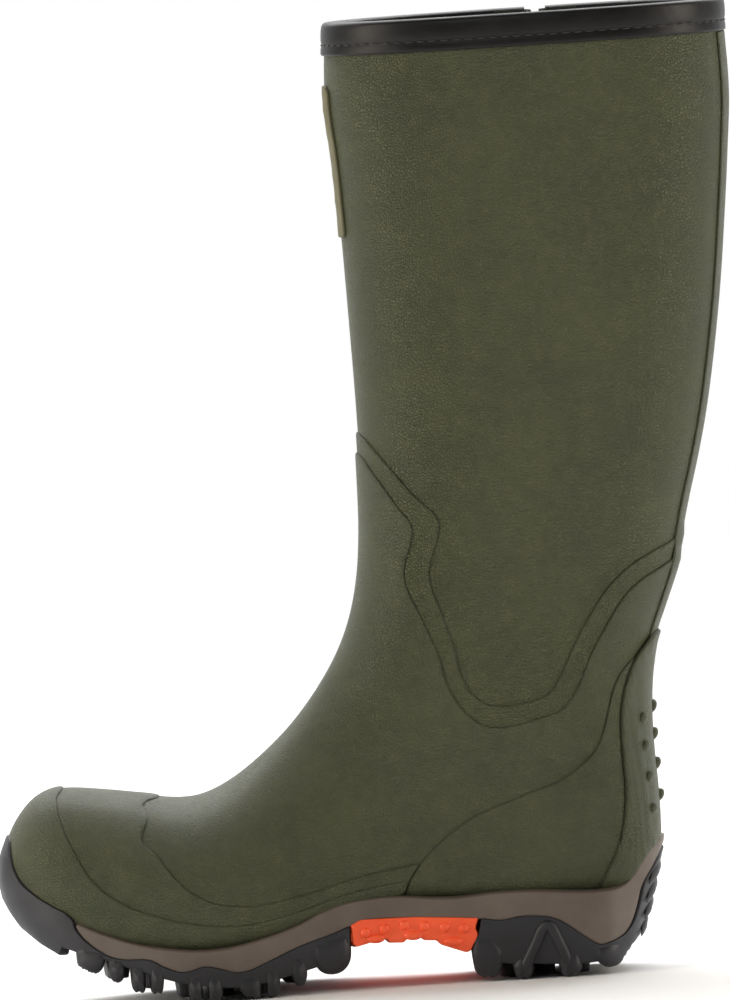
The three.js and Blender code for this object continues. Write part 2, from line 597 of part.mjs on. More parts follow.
// How far the sole's wall draws in from its edge at each height: at the toe, at the heel and along the
// sides.
const TOE_DRAW = [[-2, 66], [8, 56], [16, 40], [24, 25.5], [32, 15.6], [40, 7.6], [50, 1.9], [60, 0],
  [70, 1.2], [84, 7]];
const HEEL_DRAW = [[-2, 26], [8, 19], [16, 12.5], [24, 9], [32, 6.6], [40, 5], [50, 2.6], [60, 0],
  [84, 0]];
const SIDE_DRAW = [[-2, 4], [8, 2.4], [16, 1], [24, 0], [40, 0.6], [60, 2], [84, 4]];

const soleEdge = (() => {
  const loop = [...medial, ...lateral.slice(1, -1).reverse()];
  const lengths = [0];
  loop.forEach((p, i) => {
    const q = loop[(i + 1) % loop.length];
    lengths.push(lengths[i] + Math.hypot(q[0] - p[0], q[1] - p[1]));
  });
  return Array.from({ length: SOLE_STEPS }, (_, k) => {
    const at = (k / SOLE_STEPS) * lengths.at(-1);
    const i = lengths.findIndex((l) => l > at) - 1;
    const [p, q] = [loop[i], loop[(i + 1) % loop.length]];
    const share = (at - lengths[i]) / (lengths[i + 1] - lengths[i]);
    const [dx, dy] = [q[0] - p[0], q[1] - p[1]];
    const length = Math.hypot(dx, dy);
    return { x: lerp(p[0], q[0], share), y: lerp(p[1], q[1], share), nx: dy / length, ny: -dx / length };
  });
})();

function soleRing(z, grow = 0) {
  return soleEdge.map(({ x, y, nx, ny }) => {
    const lengthwise = nx * nx;
    const ends = nx < 0 ? valueAt(TOE_DRAW, z) : valueAt(HEEL_DRAW, z);
    const draw = lerp(valueAt(SIDE_DRAW, z), ends, lengthwise) - grow;
    return new THREE.Vector3(x - nx * draw, y - ny * draw, z);
  });
}
// The directions point outwards, so those on the inner side of the foot point towards -Y.
if (soleEdge[Math.round(SOLE_STEPS / 4)].ny > 0) {
  for (const point of soleEdge) {
    point.nx *= -1;
    point.ny *= -1;
  }
}
const soleBlock = stack(SOLE_LEVELS.map((z) => soleRing(z)));

// Where taupe foxing, black tread and orange arch meet, from the toe back.
const TREAD_TOP = side([
  [33, 39.2], [38, 32.6], [47, 25.6], [54, 23.2], [67, 22.2], [73, 18.8], [81, 15.7], [86, 16.2],
    [91.6, 17.6], [98.6, 16.2],
  [105, 14], [111, 13.9], [120.7, 17.4], [136, 23.5], [152, 28.2], [160, 31.2],
]);
const ARCH_TOP = side([[160, 31.2], [167, 33.2], [190, 32.6], [219, 30.2]]);
const HEEL_TREAD_TOP = side([
  [219, 30.2], [229, 28.8], [237, 30], [250, 29.2], [256.4, 26.6], [264, 20.8], [272.5, 15], [276, 15],
    [285, 18.6],
  [289.4, 24], [292.7, 32], [295.4, 40.3], [300.9, 48.3], [307, 58],
]);
// Underside of the tread plates, between the lugs.
const PLATE_LINE = side([[20, 34], [26, 29], [33, 26], [46, 22], [60, 16.4], [72, 12], [84, 8.6],
  [100, 5.8], [112, 5.4], [125, 7.6], [140, 11], [159, 15.5]]);
const HEEL_PLATE_LINE = side([[214, 11], [222, 8.6], [232, 7.1], [242, 6.4], [254, 5.7], [268, 5.3],
  [280, 7.2], [290, 12]]);
const ARCH_LOW = side([[159.5, 20.5], [169, 21.4], [184, 22], [200, 19], [213.6, 13.4]]);
const meeting = [...TREAD_TOP, ...ARCH_TOP.slice(1), ...HEEL_TREAD_TOP.slice(1)];

const bareCut = filled(-CUT_GAP, 1);
const layersCut = filled(-MOST_LAYERS * LAYER_STEP - CUT_GAP, 1).intersect(
  across([...SOLE_TOP.map(([x, z]) => [x, z - LAYER_TUCK - CUT_GAP]), [FAR, FAR], [-20, FAR]]),
);
const solePiece = (outline) => soleBlock.intersect(across(outline)).subtract(bareCut).subtract(layersCut);

const shankFrom = fore(184);
const shankTo = fore(268);
const shankZone = (grow) => box(shankFrom - grow, shankTo + grow, -SHANK_WIDTH / 2 - grow,
  SHANK_WIDTH / 2 + grow, 0, 60);
const shankSkin = [-CUT_GAP - SHANK_WALL - FIT_GAP, -CUT_GAP - FIT_GAP];
show("steel_shank", wall(...shankSkin, 1).intersect(shankZone(0)), SPRING_STEEL);

const midsole = solePiece([
  [FOXING_TOP[0][0] + CUT_GAP, FOXING_TOP[0][1]], ...FOXING_TOP.slice(1), [FAR, FOXING_TOP.at(-1)[1]],
    [FAR, meeting.at(-1)[1] + CUT_GAP],
  ...meeting.slice(1).reverse().map(([x, z]) => [x, z + CUT_GAP]),
    [meeting[0][0] + CUT_GAP, meeting[0][1] + CUT_GAP],
]);
show("midsole", midsole.subtract(wall(shankSkin[0] - CUT_GAP, 0, 1).intersect(shankZone(CUT_GAP))),
  TAUPE_RUBBER);

// A lug: a block that narrows a little towards the floor, from the sole's edge inwards.
const LUG_DRAFT = 1.2;
const LUG_PROUD = 0.8; // edge lugs stand out of the sole's wall
function lug(corners, low, high) {
  const middle = corners.reduce(([a, b], [x, y]) => [a + x / corners.length, b + y / corners.length],
    [0, 0]);
  const ring = (z, shrink) =>
    corners.map(([x, y]) => {
      const length = Math.hypot(x - middle[0], y - middle[1]);
      return new THREE.Vector3(x - ((x - middle[0]) * shrink) / length,
        y - ((y - middle[1]) * shrink) / length, z);
    });
  return stack([ring(low, LUG_DRAFT), ring(low + 2 * LUG_DRAFT, 0), ring(high, 0)]);
}
function edgeLug(x0, x1, hand, low, high) {
  const line = hand < 0 ? medial : lateral;
  const draw = valueAt(SIDE_DRAW, (low + high) / 2) - LUG_PROUD;
  const y = (x) => edgeAt(line, x) - hand * draw;
  const inner = (x) => y(x) - hand * LUG_REACH;
  return lug([[x0, y(x0)], [x1, y(x1)], [x1 - 1, inner(x1)], [x0 + 1, inner(x0)]], low, high);
}
// [from x, to x, underside, how far up the wall it shows]
const FOREFOOT_LUGS = [
  [33.6, 46, 16, 27], [47, 55, 11.4, 22], [57.8, 64.4, 6.4, 18], [66.4, 72.6, 5.2, 17],
    [83.6, 90.4, 0.8, 12.5],
  [92.8, 99.4, 0, 12.5], [107, 117.5, 0, 12], [119.3, 125.4, 0.8, 13], [131.2, 138.3, 3.9, 17],
    [142, 158.4, 8.2, 22],
];
const HEEL_LUGS = [[216.4, 227.5, 1.6, 18], [232.6, 242, 0, 18], [253.7, 264.7, 0, 18],
  [271, 283, 3, 14]];
// Middle lugs: [x, y, length, width, underside]
const FOREFOOT_CENTRES = [
  [52, -6, 10, 26, 11.4], [68, 2, 9, 30, 5.4], [84, -4, 9, 34, 1], [100, 3, 9, 34, 0],
    [116, -2, 9, 34, 0], [132, 3, 8, 32, 3.8],
];
const HEEL_CENTRES = [[232, 0, 9, 24, 0], [248, 1, 9, 26, 0], [264, 0, 9, 24, 0]];
const centreLug = ([x, y, length, width, low], plate) =>
  lug(
    [[x - length / 2, y - width / 2], [x, y - width / 2 - 3], [x + length / 2, y - width / 2],
      [x + length / 2 - 2, y], [x + length / 2, y + width / 2],
      [x, y + width / 2 + 3], [x - length / 2, y + width / 2],
        [x - length / 2 - 2, y]].map(([a, b]) => [fore(a), out(b)]),
    low,
    plate,
  );

const treadOutline = [
  ...BUMPER_TOP, ...TREAD_TOP, ...side([[159, 15.5]]), ...PLATE_LINE.slice(0, -1).reverse(),
  [-20, PLATE_LINE[0][1] - 10],
];
let forefoot = solePiece(treadOutline);
const lugRoof = (line) => across([[-20, 90], [-20, line[0][1]], ...line, [FAR, line.at(-1)[1]],
  [FAR, 90]]);
for (const hand of [-1, 1])
  for (const [x0, x1, low, high] of FOREFOOT_LUGS)
    forefoot = forefoot.add(edgeLug(fore(x0), fore(x1), hand, low,
      high).subtract(lugRoof(TREAD_TOP.map(([x, z]) => [x, z - 1.5]))));
for (const centre of FOREFOOT_CENTRES) forefoot = forefoot.add(centreLug(centre, centre[4] + 9));
show("forefoot_outsole", forefoot.subtract(bareCut), BLACK_RUBBER);

const heelOutline = [
  ...HEEL_TREAD_TOP.map(([x, z], i) => [i ? x : x + CUT_GAP, z]), [FAR, HEEL_TREAD_TOP.at(-1)[1]],
    [FAR, HEEL_PLATE_LINE.at(-1)[1]],
  ...HEEL_PLATE_LINE.slice().reverse(),
];
let heel = solePiece(heelOutline);
for (const hand of [-1, 1])
  for (const [x0, x1, low, high] of HEEL_LUGS)
    heel = heel.add(edgeLug(fore(x0), fore(x1), hand, low,
      high).subtract(lugRoof(HEEL_TREAD_TOP.map(([x, z]) => [x, z - 1.5]))));
for (const centre of HEEL_CENTRES) heel = heel.add(centreLug(centre, centre[4] + 9));
// Ribs round the back of the heel.
const HEEL_RIBS = [20, 28.5, 37, 45.5];
const RIB_HEIGHT = 5.4;
const RIB_PROUD = 1.6;
const RIB_HALF_WIDTH = 27;
for (const z of HEEL_RIBS) {
  const rib = stack([soleRing(z - RIB_HEIGHT / 2, 0.2), soleRing(z - RIB_HEIGHT / 4, RIB_PROUD),
    soleRing(z + RIB_HEIGHT / 2, 0.2)]);
  heel = heel.add(rib.intersect(box(fore(284), FAR, -RIB_HALF_WIDTH, RIB_HALF_WIDTH, 0,
    90)).intersect(across(heelOutline)).subtract(bareCut).subtract(layersCut));
}
show("heel_outsole", heel, BLACK_RUBBER);

// Orange arch plate between the two treads, with its studs.
let arch = solePiece([
  ...ARCH_TOP.map(([x, z], i) => [x + (i ? -CUT_GAP : CUT_GAP), z]),
  ...side([[214, 13.4]]).map(([x, z]) => [x - CUT_GAP, z]),
  ...ARCH_LOW.slice(0, -1).reverse().map(([x, z]) => [x + CUT_GAP, z]),
]);
const STUDS = [166.6, 175.6, 184.6, 193.6, 202.6, 211];
const STUD_RADIUS = 1.9;
for (const x of STUDS)
  for (const line of [medial, lateral]) {
    const hand = line === medial ? -1 : 1;
    const y = edgeAt(line, fore(x)) - hand * valueAt(SIDE_DRAW, 27);
    arch = arch.add(domeAt(new THREE.Vector3(fore(x), y - hand * 0.6, 28), STUD_RADIUS));
  }
show("arch_plate", arch, ORANGE_RUBBER);

// ---------------------------------------------------------------- footbed, loose on the lining
const footbed = (low, high) => wall(low, high, 1).intersect(
  across([[fore(14), 64], [fore(30), 50], [fore(45), 43.6], [fore(85), 38.4], [fore(110), 38.8],
    [fore(140), 44.4], [fore(185), 53.6], [fore(225), 51],
    [fore(265), 48.4], [fore(291), 50], [fore(291), 0], [fore(14), 0]]),
);
show("footbed_foam", footbed(INSIDE_AT + CUT_GAP, INSIDE_AT + CUT_GAP + FOOTBED_WALL), FELT);
show("footbed_cover", footbed(INSIDE_AT + CUT_GAP + FOOTBED_WALL + FIT_GAP,
  INSIDE_AT + CUT_GAP + FOOTBED_WALL + FIT_GAP + FOOTBED_COVER), LINING_KNIT);

// ---------------------------------------------------------------- rim binding and its stitching
const bindingSkin = -FIT_GAP - BINDING_WALL;
const innerBinding = [INSIDE_AT + FIT_GAP, INSIDE_AT + FIT_GAP + BINDING_WALL];
const aboveLevel = (z) => box(-FAR, FAR, -FAR, FAR, z, FAR);
const binding = wall(bindingSkin, -FIT_GAP, 0, BINDING_STATION)
  .add(wall(bindingSkin, innerBinding[1], 0, RIM_STATION).intersect(aboveLevel(RIM_AT + FIT_GAP)))
  .add(wall(...innerBinding, 0,
    BINDING_STATION).intersect(aboveLevel(BOOT_HEIGHT - BINDING_INSIDE_DROP)));
show("rim_binding", binding.subtract(slit(CUT_GAP)), BLACK_BINDING);

const stitchSkin = bindingSkin - FIT_GAP;
const stitchZ = BOOT_HEIGHT - STITCH_DROP;
const levelRing = (z, t) => ringAt((BOOT_HEIGHT - z) / (BOOT_HEIGHT - ANKLE_HEIGHT), t);
const [stitchHigh, stitchLow] = [stitchZ + THREAD / 2, stitchZ - THREAD / 2];
const threadRings = [
  levelRing(stitchLow, stitchSkin - THREAD), levelRing(stitchHigh, stitchSkin - THREAD),
    levelRing(stitchHigh, stitchSkin),
  levelRing(stitchLow, stitchSkin),
];
show("binding_stitch", solidFrom(band([...threadRings, threadRings[0]])).subtract(slit(CUT_GAP)),
  THREAD_BLACK);

// ---------------------------------------------------------------- gusset: pleated cloth behind the slit
// The outer side's y of the skin at depth t, at one place along the boot.
function outerSide(x, z, t) {
  const ring = levelRing(z, t).map((p) => [p.x, p.y]);
  const outer = ring.filter(([, y]) => y >= -1e-6).sort((p, q) => p[0] - q[0]);
  const r = crossing(outer, [x, 0], [0, 1]);
  return r ?? 0;
}

// A stack of level rings with flat ends of any outline.
function loft(rings) {
  const flat = rings[0].map((p) => new THREE.Vector2(p.x, p.y));
  const ends = THREE.ShapeUtils.triangulateShape(flat, []);
  const top = rings.at(-1);
  return solidFrom([
    ...band(rings), ...ends.map(([a, b, c]) => [rings[0][a], rings[0][c], rings[0][b]]),
      ...ends.map(([a, b, c]) => [top[a], top[b], top[c]]),
  ]);
}

const CLOTH_FLANGE = 9;
const clothTop = RIM_AT - BINDING_INSIDE_DROP - CUT_GAP;
const slitFoot = BOOT_HEIGHT - SLIT_LENGTH;
const CLOTH_LEVELS = 6;
const clothRings = Array.from({ length: CLOTH_LEVELS }, (_, i) => {
  const z = lerp(slitFoot - CLOTH_FLANGE, clothTop, i / (CLOTH_LEVELS - 1));
  const open = Math.max(0.06, (z - slitFoot) / SLIT_LENGTH);
  const half = (open * SLIT_GAP) / 2;
  const y = (x) => outerSide(x, z, INSIDE_AT + 2 * FIT_GAP);
  const path = [-half - CLOTH_FLANGE, -half, 0, half,
    half + CLOTH_FLANGE].map((dx) => [slitX + dx, y(slitX + dx)]);
  path[2][1] -= open * PLEAT_DEPTH + CLOTH_WALL;
  const near = path.map(([x, py]) => new THREE.Vector3(x, py, z));
  const steep = CLOTH_WALL / 0.35; // the wall, measured across the boot on the pleat's slopes
  const far = [CLOTH_WALL, CLOTH_WALL, steep, CLOTH_WALL,
    CLOTH_WALL].map((w, j) => new THREE.Vector3(path[j][0], path[j][1] - w, z));
  return [...near.reverse(), ...far];
});
show("gusset_cloth", loft(clothRings), GUSSET_CLOTH);

// ---------------------------------------------------------------- strap across the slit and its buckle
const strapZ = BOOT_HEIGHT - STRAP_DROP;
const halfStrap = STRAP_WIDTH / 2;
// The shaft's fullest line beside the strap.
const shaftSide = (x) => Math.max(outerSide(x, strapZ - halfStrap - 4, 0),
  outerSide(x, strapZ + halfStrap + 4, 0));
const BAR_RADIUS = 1.2;
const EYE_WALL = 1.5;
const EYE_GAP = 0.3;
const loopRadius = BAR_RADIUS + EYE_GAP + STRAP_WALL;
const pivot = [slitX - 26, shaftSide(slitX - 26) + CUT_GAP + loopRadius];
const FRAME_LENGTH = 17;
const FRAME_RISE = 1.9;
const FRAME_SIDE = 2.2;
const frameHalf = halfStrap + 1.6 + FRAME_SIDE;
const TAB_LENGTH = 34;
const TAIL_LENGTH = 44; // strap end past the bar
const STRAP_BACK = 46; // strap's bonded end, behind the slit
const EYE_WIDTH = 3.4;

const round = (x, y, radius, z0, z1, sides = 12) =>
  prism("top", Array.from({ length: sides }, (_, i) => {
    const a = ((i + 0.5) / sides) * 2 * Math.PI;
    return [x + radius * Math.cos(a), y + radius * Math.sin(a)];
  }), z0, z1);

// A flat band that follows a line seen from above, thick towards the outside.
function bandAlong(line, thick, halfWidth, z = strapZ) {
  const outerLine = offset(line, thick, 1);
  outerLine[outerLine.length - 1] = [line.at(-1)[0], line.at(-1)[1] + thick];
  return prism("top", [...line, ...outerLine.reverse()], z - halfWidth, z + halfWidth);
}
const alongShaft = (x0, x1, lift, count = 5) =>
  Array.from({ length: count },
    (_, i) => lerp(x0, x1, i / (count - 1))).map((x) => [x, shaftSide(x) + lift]);

// Tab bonded to the shaft in front of the slit; its folded end holds the buckle's bar.
const tabBase = bandAlong([...alongShaft(pivot[0] - TAB_LENGTH, pivot[0], CUT_GAP)], STRAP_WALL,
  halfStrap);
let tab = tabBase.add(round(...pivot, loopRadius, strapZ - halfStrap, strapZ + halfStrap));
tab = tab.subtract(round(...pivot, BAR_RADIUS + EYE_GAP, 0, FAR));
tab = tab.subtract(
  box(pivot[0] - loopRadius, FAR, 0, FAR, strapZ - EYE_WIDTH / 2 - EYE_GAP,
    strapZ + EYE_WIDTH / 2 + EYE_GAP),
);
const shaftCut = filled(-FIT_GAP, 0, 0.6);
show("buckle_tab", tab.subtract(shaftCut), GREEN_RUBBER);

const frontBar = [pivot[0] + FRAME_LENGTH, pivot[1] + FRAME_RISE];
const rail = [
  [pivot[0] - BAR_RADIUS, pivot[1] - BAR_RADIUS], [frontBar[0] + BAR_RADIUS, frontBar[1] - BAR_RADIUS],
  [frontBar[0] + BAR_RADIUS, frontBar[1] + BAR_RADIUS], [pivot[0] - BAR_RADIUS, pivot[1] + BAR_RADIUS],
];
const buckleFrame = round(...pivot, BAR_RADIUS, strapZ - frameHalf, strapZ + frameHalf)
  .add(round(...frontBar, BAR_RADIUS, strapZ - frameHalf, strapZ + frameHalf))
  .add(prism("top", rail, strapZ - frameHalf, strapZ - frameHalf + FRAME_SIDE))
  .add(prism("top", rail, strapZ + frameHalf - FRAME_SIDE, strapZ + frameHalf));
show("buckle_frame", buckleFrame, GUNMETAL);

const eyeOuter = BAR_RADIUS + EYE_GAP + EYE_WALL;
const prongTip = [frontBar[0] + 1.6, frontBar[1] + BAR_RADIUS + CUT_GAP];
const PRONG_WALL = 1.8;
const prongBar = [
  [pivot[0], pivot[1] + eyeOuter - PRONG_WALL + 0.4], [frontBar[0] - 2, prongTip[1]], prongTip,
  [prongTip[0], prongTip[1] + 0.9], [frontBar[0] - 2, prongTip[1] + PRONG_WALL],
    [pivot[0], pivot[1] + eyeOuter + 0.2],
];
const prong = round(...pivot, eyeOuter, strapZ - EYE_WIDTH / 2, strapZ + EYE_WIDTH / 2)
  .add(prism("top", prongBar, strapZ - EYE_WIDTH / 2, strapZ + EYE_WIDTH / 2))
  .subtract(round(...pivot, BAR_RADIUS + EYE_GAP, 0, FAR));
show("buckle_prong", prong, GUNMETAL);

// The strap: bonded behind the slit, under the front bar, over the tab's fold and on under the keeper.
const overLoop = loopRadius + CUT_GAP + 0.5;
const strapPath = [
  ...alongShaft(pivot[0] - TAIL_LENGTH, pivot[0] - 11, 2 * CUT_GAP + STRAP_WALL, 4),
    [pivot[0] - 6, pivot[1] + overLoop - 2.4],
  [pivot[0] - 2.5, pivot[1] + overLoop], [pivot[0] + 2.5, pivot[1] + overLoop],
    [pivot[0] + 6, pivot[1] + overLoop - 2.6],
  [frontBar[0] - 4, shaftSide(frontBar[0] - 4) + CUT_GAP + 0.4],
  ...alongShaft(frontBar[0], slitX + STRAP_BACK, CUT_GAP, 5),
];
const HOLE_RADIUS = 1.9;
const HOLES_PAST_BAR = [15, 38];
let strap = bandAlong(strapPath, STRAP_WALL, halfStrap);
strap = strap.subtract(box(pivot[0] - 9.5, frontBar[0] - 3, 0, FAR, strapZ - EYE_WIDTH / 2 - 0.4,
  strapZ + EYE_WIDTH / 2 + 0.4));
for (const past of HOLES_PAST_BAR) {
  const at = pivot[0] - past;
  const corners = Array.from({ length: 8 }, (_, i) => {
    const a = ((i + 0.5) / 8) * 2 * Math.PI;
    return [at + HOLE_RADIUS * Math.cos(a), strapZ + HOLE_RADIUS * Math.sin(a)];
  });
  strap = strap.subtract(prism("side", corners, 0, FAR));
}
show("gusset_strap", strap.subtract(shaftCut), GREEN_RUBBER);

// Keeper loop that holds the strap's end down; it stands on the shaft each side of the tab.
const KEEPER_WIDTH = 7;
const KEEPER_WALL = 1.4;
const keeperX = pivot[0] - 26;
const keeperOut = shaftSide(keeperX + KEEPER_WIDTH / 2) + 3 * CUT_GAP + 2 * STRAP_WALL + 0.5;
const keeperSpan = (grow, z) => [keeperX - KEEPER_WIDTH / 2, keeperX + KEEPER_WIDTH / 2, 0,
  keeperOut + grow, strapZ - z, strapZ + z];
const keeper = box(...keeperSpan(KEEPER_WALL, halfStrap + CUT_GAP + 2 * KEEPER_WALL))
  .subtract(box(keeperX - KEEPER_WIDTH, keeperX + KEEPER_WIDTH, 0, keeperOut,
    strapZ - halfStrap - CUT_GAP, strapZ + halfStrap + CUT_GAP))
  .subtract(shaftCut);
show("strap_keeper", keeper, GREEN_RUBBER);

// ---------------------------------------------------------------- place the group over its own footprint
const bounds = new THREE.Box3().setFromObject(boot);
boot.position.set(-(bounds.min.x + bounds.max.x) / 2, -(bounds.min.y + bounds.max.y) / 2, -bounds.min.z);
export default boot;
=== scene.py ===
"""Insulated rubber hunting boot, right foot: its looks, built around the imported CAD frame.
Metres, +Z up, toe towards -X."""

import math

import bmesh
import bpy
import numpy as np
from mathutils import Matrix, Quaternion, Vector


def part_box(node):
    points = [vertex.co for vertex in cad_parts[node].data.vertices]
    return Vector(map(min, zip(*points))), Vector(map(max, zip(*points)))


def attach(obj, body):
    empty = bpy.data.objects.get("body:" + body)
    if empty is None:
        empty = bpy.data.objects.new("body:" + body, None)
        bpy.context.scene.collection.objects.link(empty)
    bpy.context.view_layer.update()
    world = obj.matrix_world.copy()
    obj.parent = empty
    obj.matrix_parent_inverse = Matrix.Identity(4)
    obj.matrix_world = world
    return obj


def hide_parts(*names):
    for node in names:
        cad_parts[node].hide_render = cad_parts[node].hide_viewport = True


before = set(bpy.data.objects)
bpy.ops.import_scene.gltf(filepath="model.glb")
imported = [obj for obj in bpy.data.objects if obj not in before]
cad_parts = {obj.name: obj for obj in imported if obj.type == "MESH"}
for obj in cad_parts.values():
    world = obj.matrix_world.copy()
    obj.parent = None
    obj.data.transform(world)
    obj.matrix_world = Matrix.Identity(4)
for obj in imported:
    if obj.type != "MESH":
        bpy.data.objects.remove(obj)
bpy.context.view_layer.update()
MM = 0.001

# ---- sizes, in millimetres, the same as the CAD's
BOOT_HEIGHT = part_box("rim_binding")[1].z / MM
ANKLE_HEIGHT = 215
PIVOT_X = 85
RUBBER_WALL, INSULATION_WALL, LINING_WALL = 1.8, 4.2, 1.2
LAYER_WALL, STIFFENER_WALL, MIDSOLE_WALL = 0.7, 0.9, 2
FIT_GAP, CUT_GAP = 0.25, 0.3
LAYER_STEP = LAYER_WALL + FIT_GAP
SHELL_INSET = MIDSOLE_WALL + 4 * LAYER_STEP
INSULATION_AT = RUBBER_WALL + FIT_GAP
LINING_AT = INSULATION_AT + INSULATION_WALL + FIT_GAP
INSIDE_AT = LINING_AT + LINING_WALL
BINDING_WALL, BINDING_DROP = 1.2, 15
SLIT_LENGTH, SLIT_GAP = 125, 9.5
STRAP_WIDTH, STRAP_WALL, STRAP_DROP = 20, 2, 42
BADGE_WALL = 1.2
FOOTBED_WALL, FOOTBED_COVER = 4.5, 1

# The last is drawn from its toe tip. The steel shank's front end, 184 mm along, shows where that lies.
SHANK_FRONT = 184
shank_low, shank_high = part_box("steel_shank")
HOME = np.array([shank_low.x / MM - SHANK_FRONT, (shank_low.y + shank_high.y) / 2 / MM, 0.0])

# ---- lines of the last, [x from the toe tip, z]
TIP = [SHELL_INSET, 58]
FRONT_LINE = [
    [175.6, 446], [173.4, 427], [172.6, 405], [174.6, 380], [175.8, 350], [176.8, 310], [177.6, 265],
    [177.6, 235],
    [176.8, 208], [174.4, 187], [169.6, 168], [162, 151], [149.5, 132.5], [133.5, 115], [111, 97.8],
    [96, 91.2],
    [85, 90.2], [67, 92.6], [49, 95.4], [35, 97], [28, 96.6], [20.5, 93.3], [13.8, 86.4], [8.9, 78],
    [SHELL_INSET + 0.6, 68], TIP,
]
BACK_LINE = [
    [356.4, 446], [356.8, 428], [357.2, 400], [354.8, 373], [352.3, 350], [346.6, 305], [338.5, 259],
    [333, 236],
    [326.8, 214], [319.5, 187], [312, 168], [305.6, 152], [302, 135], [300.4, 118], [300.3, 100], [301, 82],
    [300.9, 62], [298.5, 46], [293, 38], [283, 34.6], [265, 33.6], [245, 34], [225, 36], [205, 37.5],
    [185, 37],
    [165, 33.5], [145, 28.5], [120, 22.8], [100, 20.6], [85, 20.4], [65, 22.5], [45, 27.5], [28, 34.5],
    [14, 44],
    [SHELL_INSET + 1.4, 51], TIP,
]
# Sole edge seen from above, [x, y].
MEDIAL_EDGE = [
    [0, -6], [2.5, -19], [9, -30], [22, -40], [45, -48], [72, -52.4], [95, -52.6], [120, -49], [150, -41.5],
    [180, -36], [210, -34.6], [238, -36.6], [262, -38.6], [282, -36], [296, -26], [303, -13], [305, 0],
]
LATERAL_EDGE = [
    [0, -6], [2, 4], [8, 16], [20, 27.5], [40, 38.5], [65, 47.5], [92, 53.4], [118, 55.6], [145, 54],
    [172, 49],
    [205, 43], [235, 40.6], [262, 39.6], [282, 36], [296, 26], [303, 13], [305, 0],
]
# Stations run 0 at the rim, 1 at the top of the ankle, 1 to 2 round the instep, 3 at the toe tip.
CAPS = [  # station, front and back shares of the section, front and back squareness
    [0, 0.48, 0.46, 2.25, 2.25], [0.5, 0.48, 0.46, 2.2, 2.2], [1, 0.46, 0.45, 2.1, 2.1],
    [1.17, 0.42, 0.4, 2.1, 2.15],
    [1.33, 0.34, 0.29, 2.1, 2.2], [1.44, 0.32, 0.2, 2.1, 2.4], [1.55, 0.4, 0.16, 2.1, 2.6],
    [1.67, 0.52, 0.17, 2.1, 2.7], [1.83, 0.6, 0.18, 2.1, 2.7], [2, 0.66, 0.19, 2.15, 2.6],
    [2.35, 0.62, 0.23, 2.2, 2.4], [2.6, 0.55, 0.35, 2.2, 2.2], [3, 0.5, 0.5, 2, 2],
]
SHAFT_HALVES = [[0, 53], [0.35, 52.4], [0.7, 50], [1, 45], [1.14, 41], [1.28, 37.5], [1.42, 35]]
SOLE_STATION, TOE_STATION = 1.54, 2.4
RIDGE = [[0, 0], [1, 0], [1.6, -3], [2, -6], [2.5, -7], [3, -6]]
KEEL = [[0, 0], [1.5, 0], [2, 0], [2.6, -4], [3, -6]]
SLIT_X = (FRONT_LINE[0][0] + BACK_LINE[0][0]) / 2 + 6
SLIT_FOOT = BOOT_HEIGHT - SLIT_LENGTH

# ---- side view outlines of the rubber layers
BUMPER_TOP = [[-20, 80], [5.6, 80], [5.9, 73], [6.8, 66], [10, 59.6], [17, 53.2], [25, 48], [30, 45.2],
    [33.2, 41.5]]
FOXING_TOP = [
    [33, 41.5], [45, 35.6], [60, 29.8], [73, 26.8], [90, 24.6], [104, 25], [117, 27.4], [136, 33],
    [146, 37.6],
    [157, 41], [170, 42.4], [182, 42.4], [197, 40.6], [208, 40], [228, 41.2], [245, 41], [262, 39.6],
    [277, 39.2],
    [285, 40.6], [290, 44.6], [295, 51], [300, 57], [306, 61.5],
]
ANKLE_LINE = [
    [150, 265], [177, 254], [184, 246.6], [195.6, 232], [199.6, 226.7], [205.7, 220.6],
    [210.4, 215.9], [211.9, 212.2], [210.9, 205.8], [209.1, 200.2], [206.8, 194.5], [205.7, 188.1],
    [206.7, 181.6], [209.7, 172.7], [212.7, 162.5], [215.1, 155.1], [216.6, 144.9], [219, 137.6],
    [222.9, 131.5], [227.7, 127.6], [231.9, 126.3], [239.1, 126.2], [246.4, 127.1], [252.2, 128.2],
    [257.4, 130.7], [261.3, 134.8], [264.5, 140.3], [268.7, 148.7], [274.3, 158.4], [280.7, 168.1],
    [287, 176.3], [293.2, 182.4], [299.3, 186.8], [308.3, 191.4], [318.7, 195.8], [345, 212],
]
VAMP_LINE = [
    [150, 255], [176.5, 244.4], [182, 237], [194.7, 218.1], [197.6, 214.6], [199.6, 209.4],
    [198, 202.3], [195.4, 195.3], [194.2, 188.2], [195.9, 180.9], [200.2, 170.5], [204.6, 160.1],
    [208.2, 149.8], [209.8, 141], [212.9, 132.9], [217.4, 125.4], [222.8, 120], [228.4, 117.1],
    [234.1, 116.4], [241.4, 117.1], [250.1, 119], [257.5, 120.9], [263.4, 123.1], [268, 127.9],
    [272.8, 135.5], [277.1, 145.3], [282.8, 155], [289.2, 164.7], [295.5, 172.9], [303.1, 179.1],
    [312.1, 183.7], [316.6, 186], [345, 202],
]
TOE_GUARD_LINE = [
    [86, 112], [84.4, 99], [79, 95], [73, 93.6], [68.6, 92.8], [67.9, 91.2], [69.3, 88.6], [69.8, 85.5],
    [68, 81.3], [66.4, 77.6], [67.6, 74.6], [72.3, 70.4], [79.2, 60.2], [86.5, 52.3], [94.9, 46.7],
    [102, 44.2],
    [110.2, 43.1], [118, 42.7], [126.9, 43.8], [146.1, 47.2], [165.8, 52.2], [183.9, 54.9], [260, 64],
]
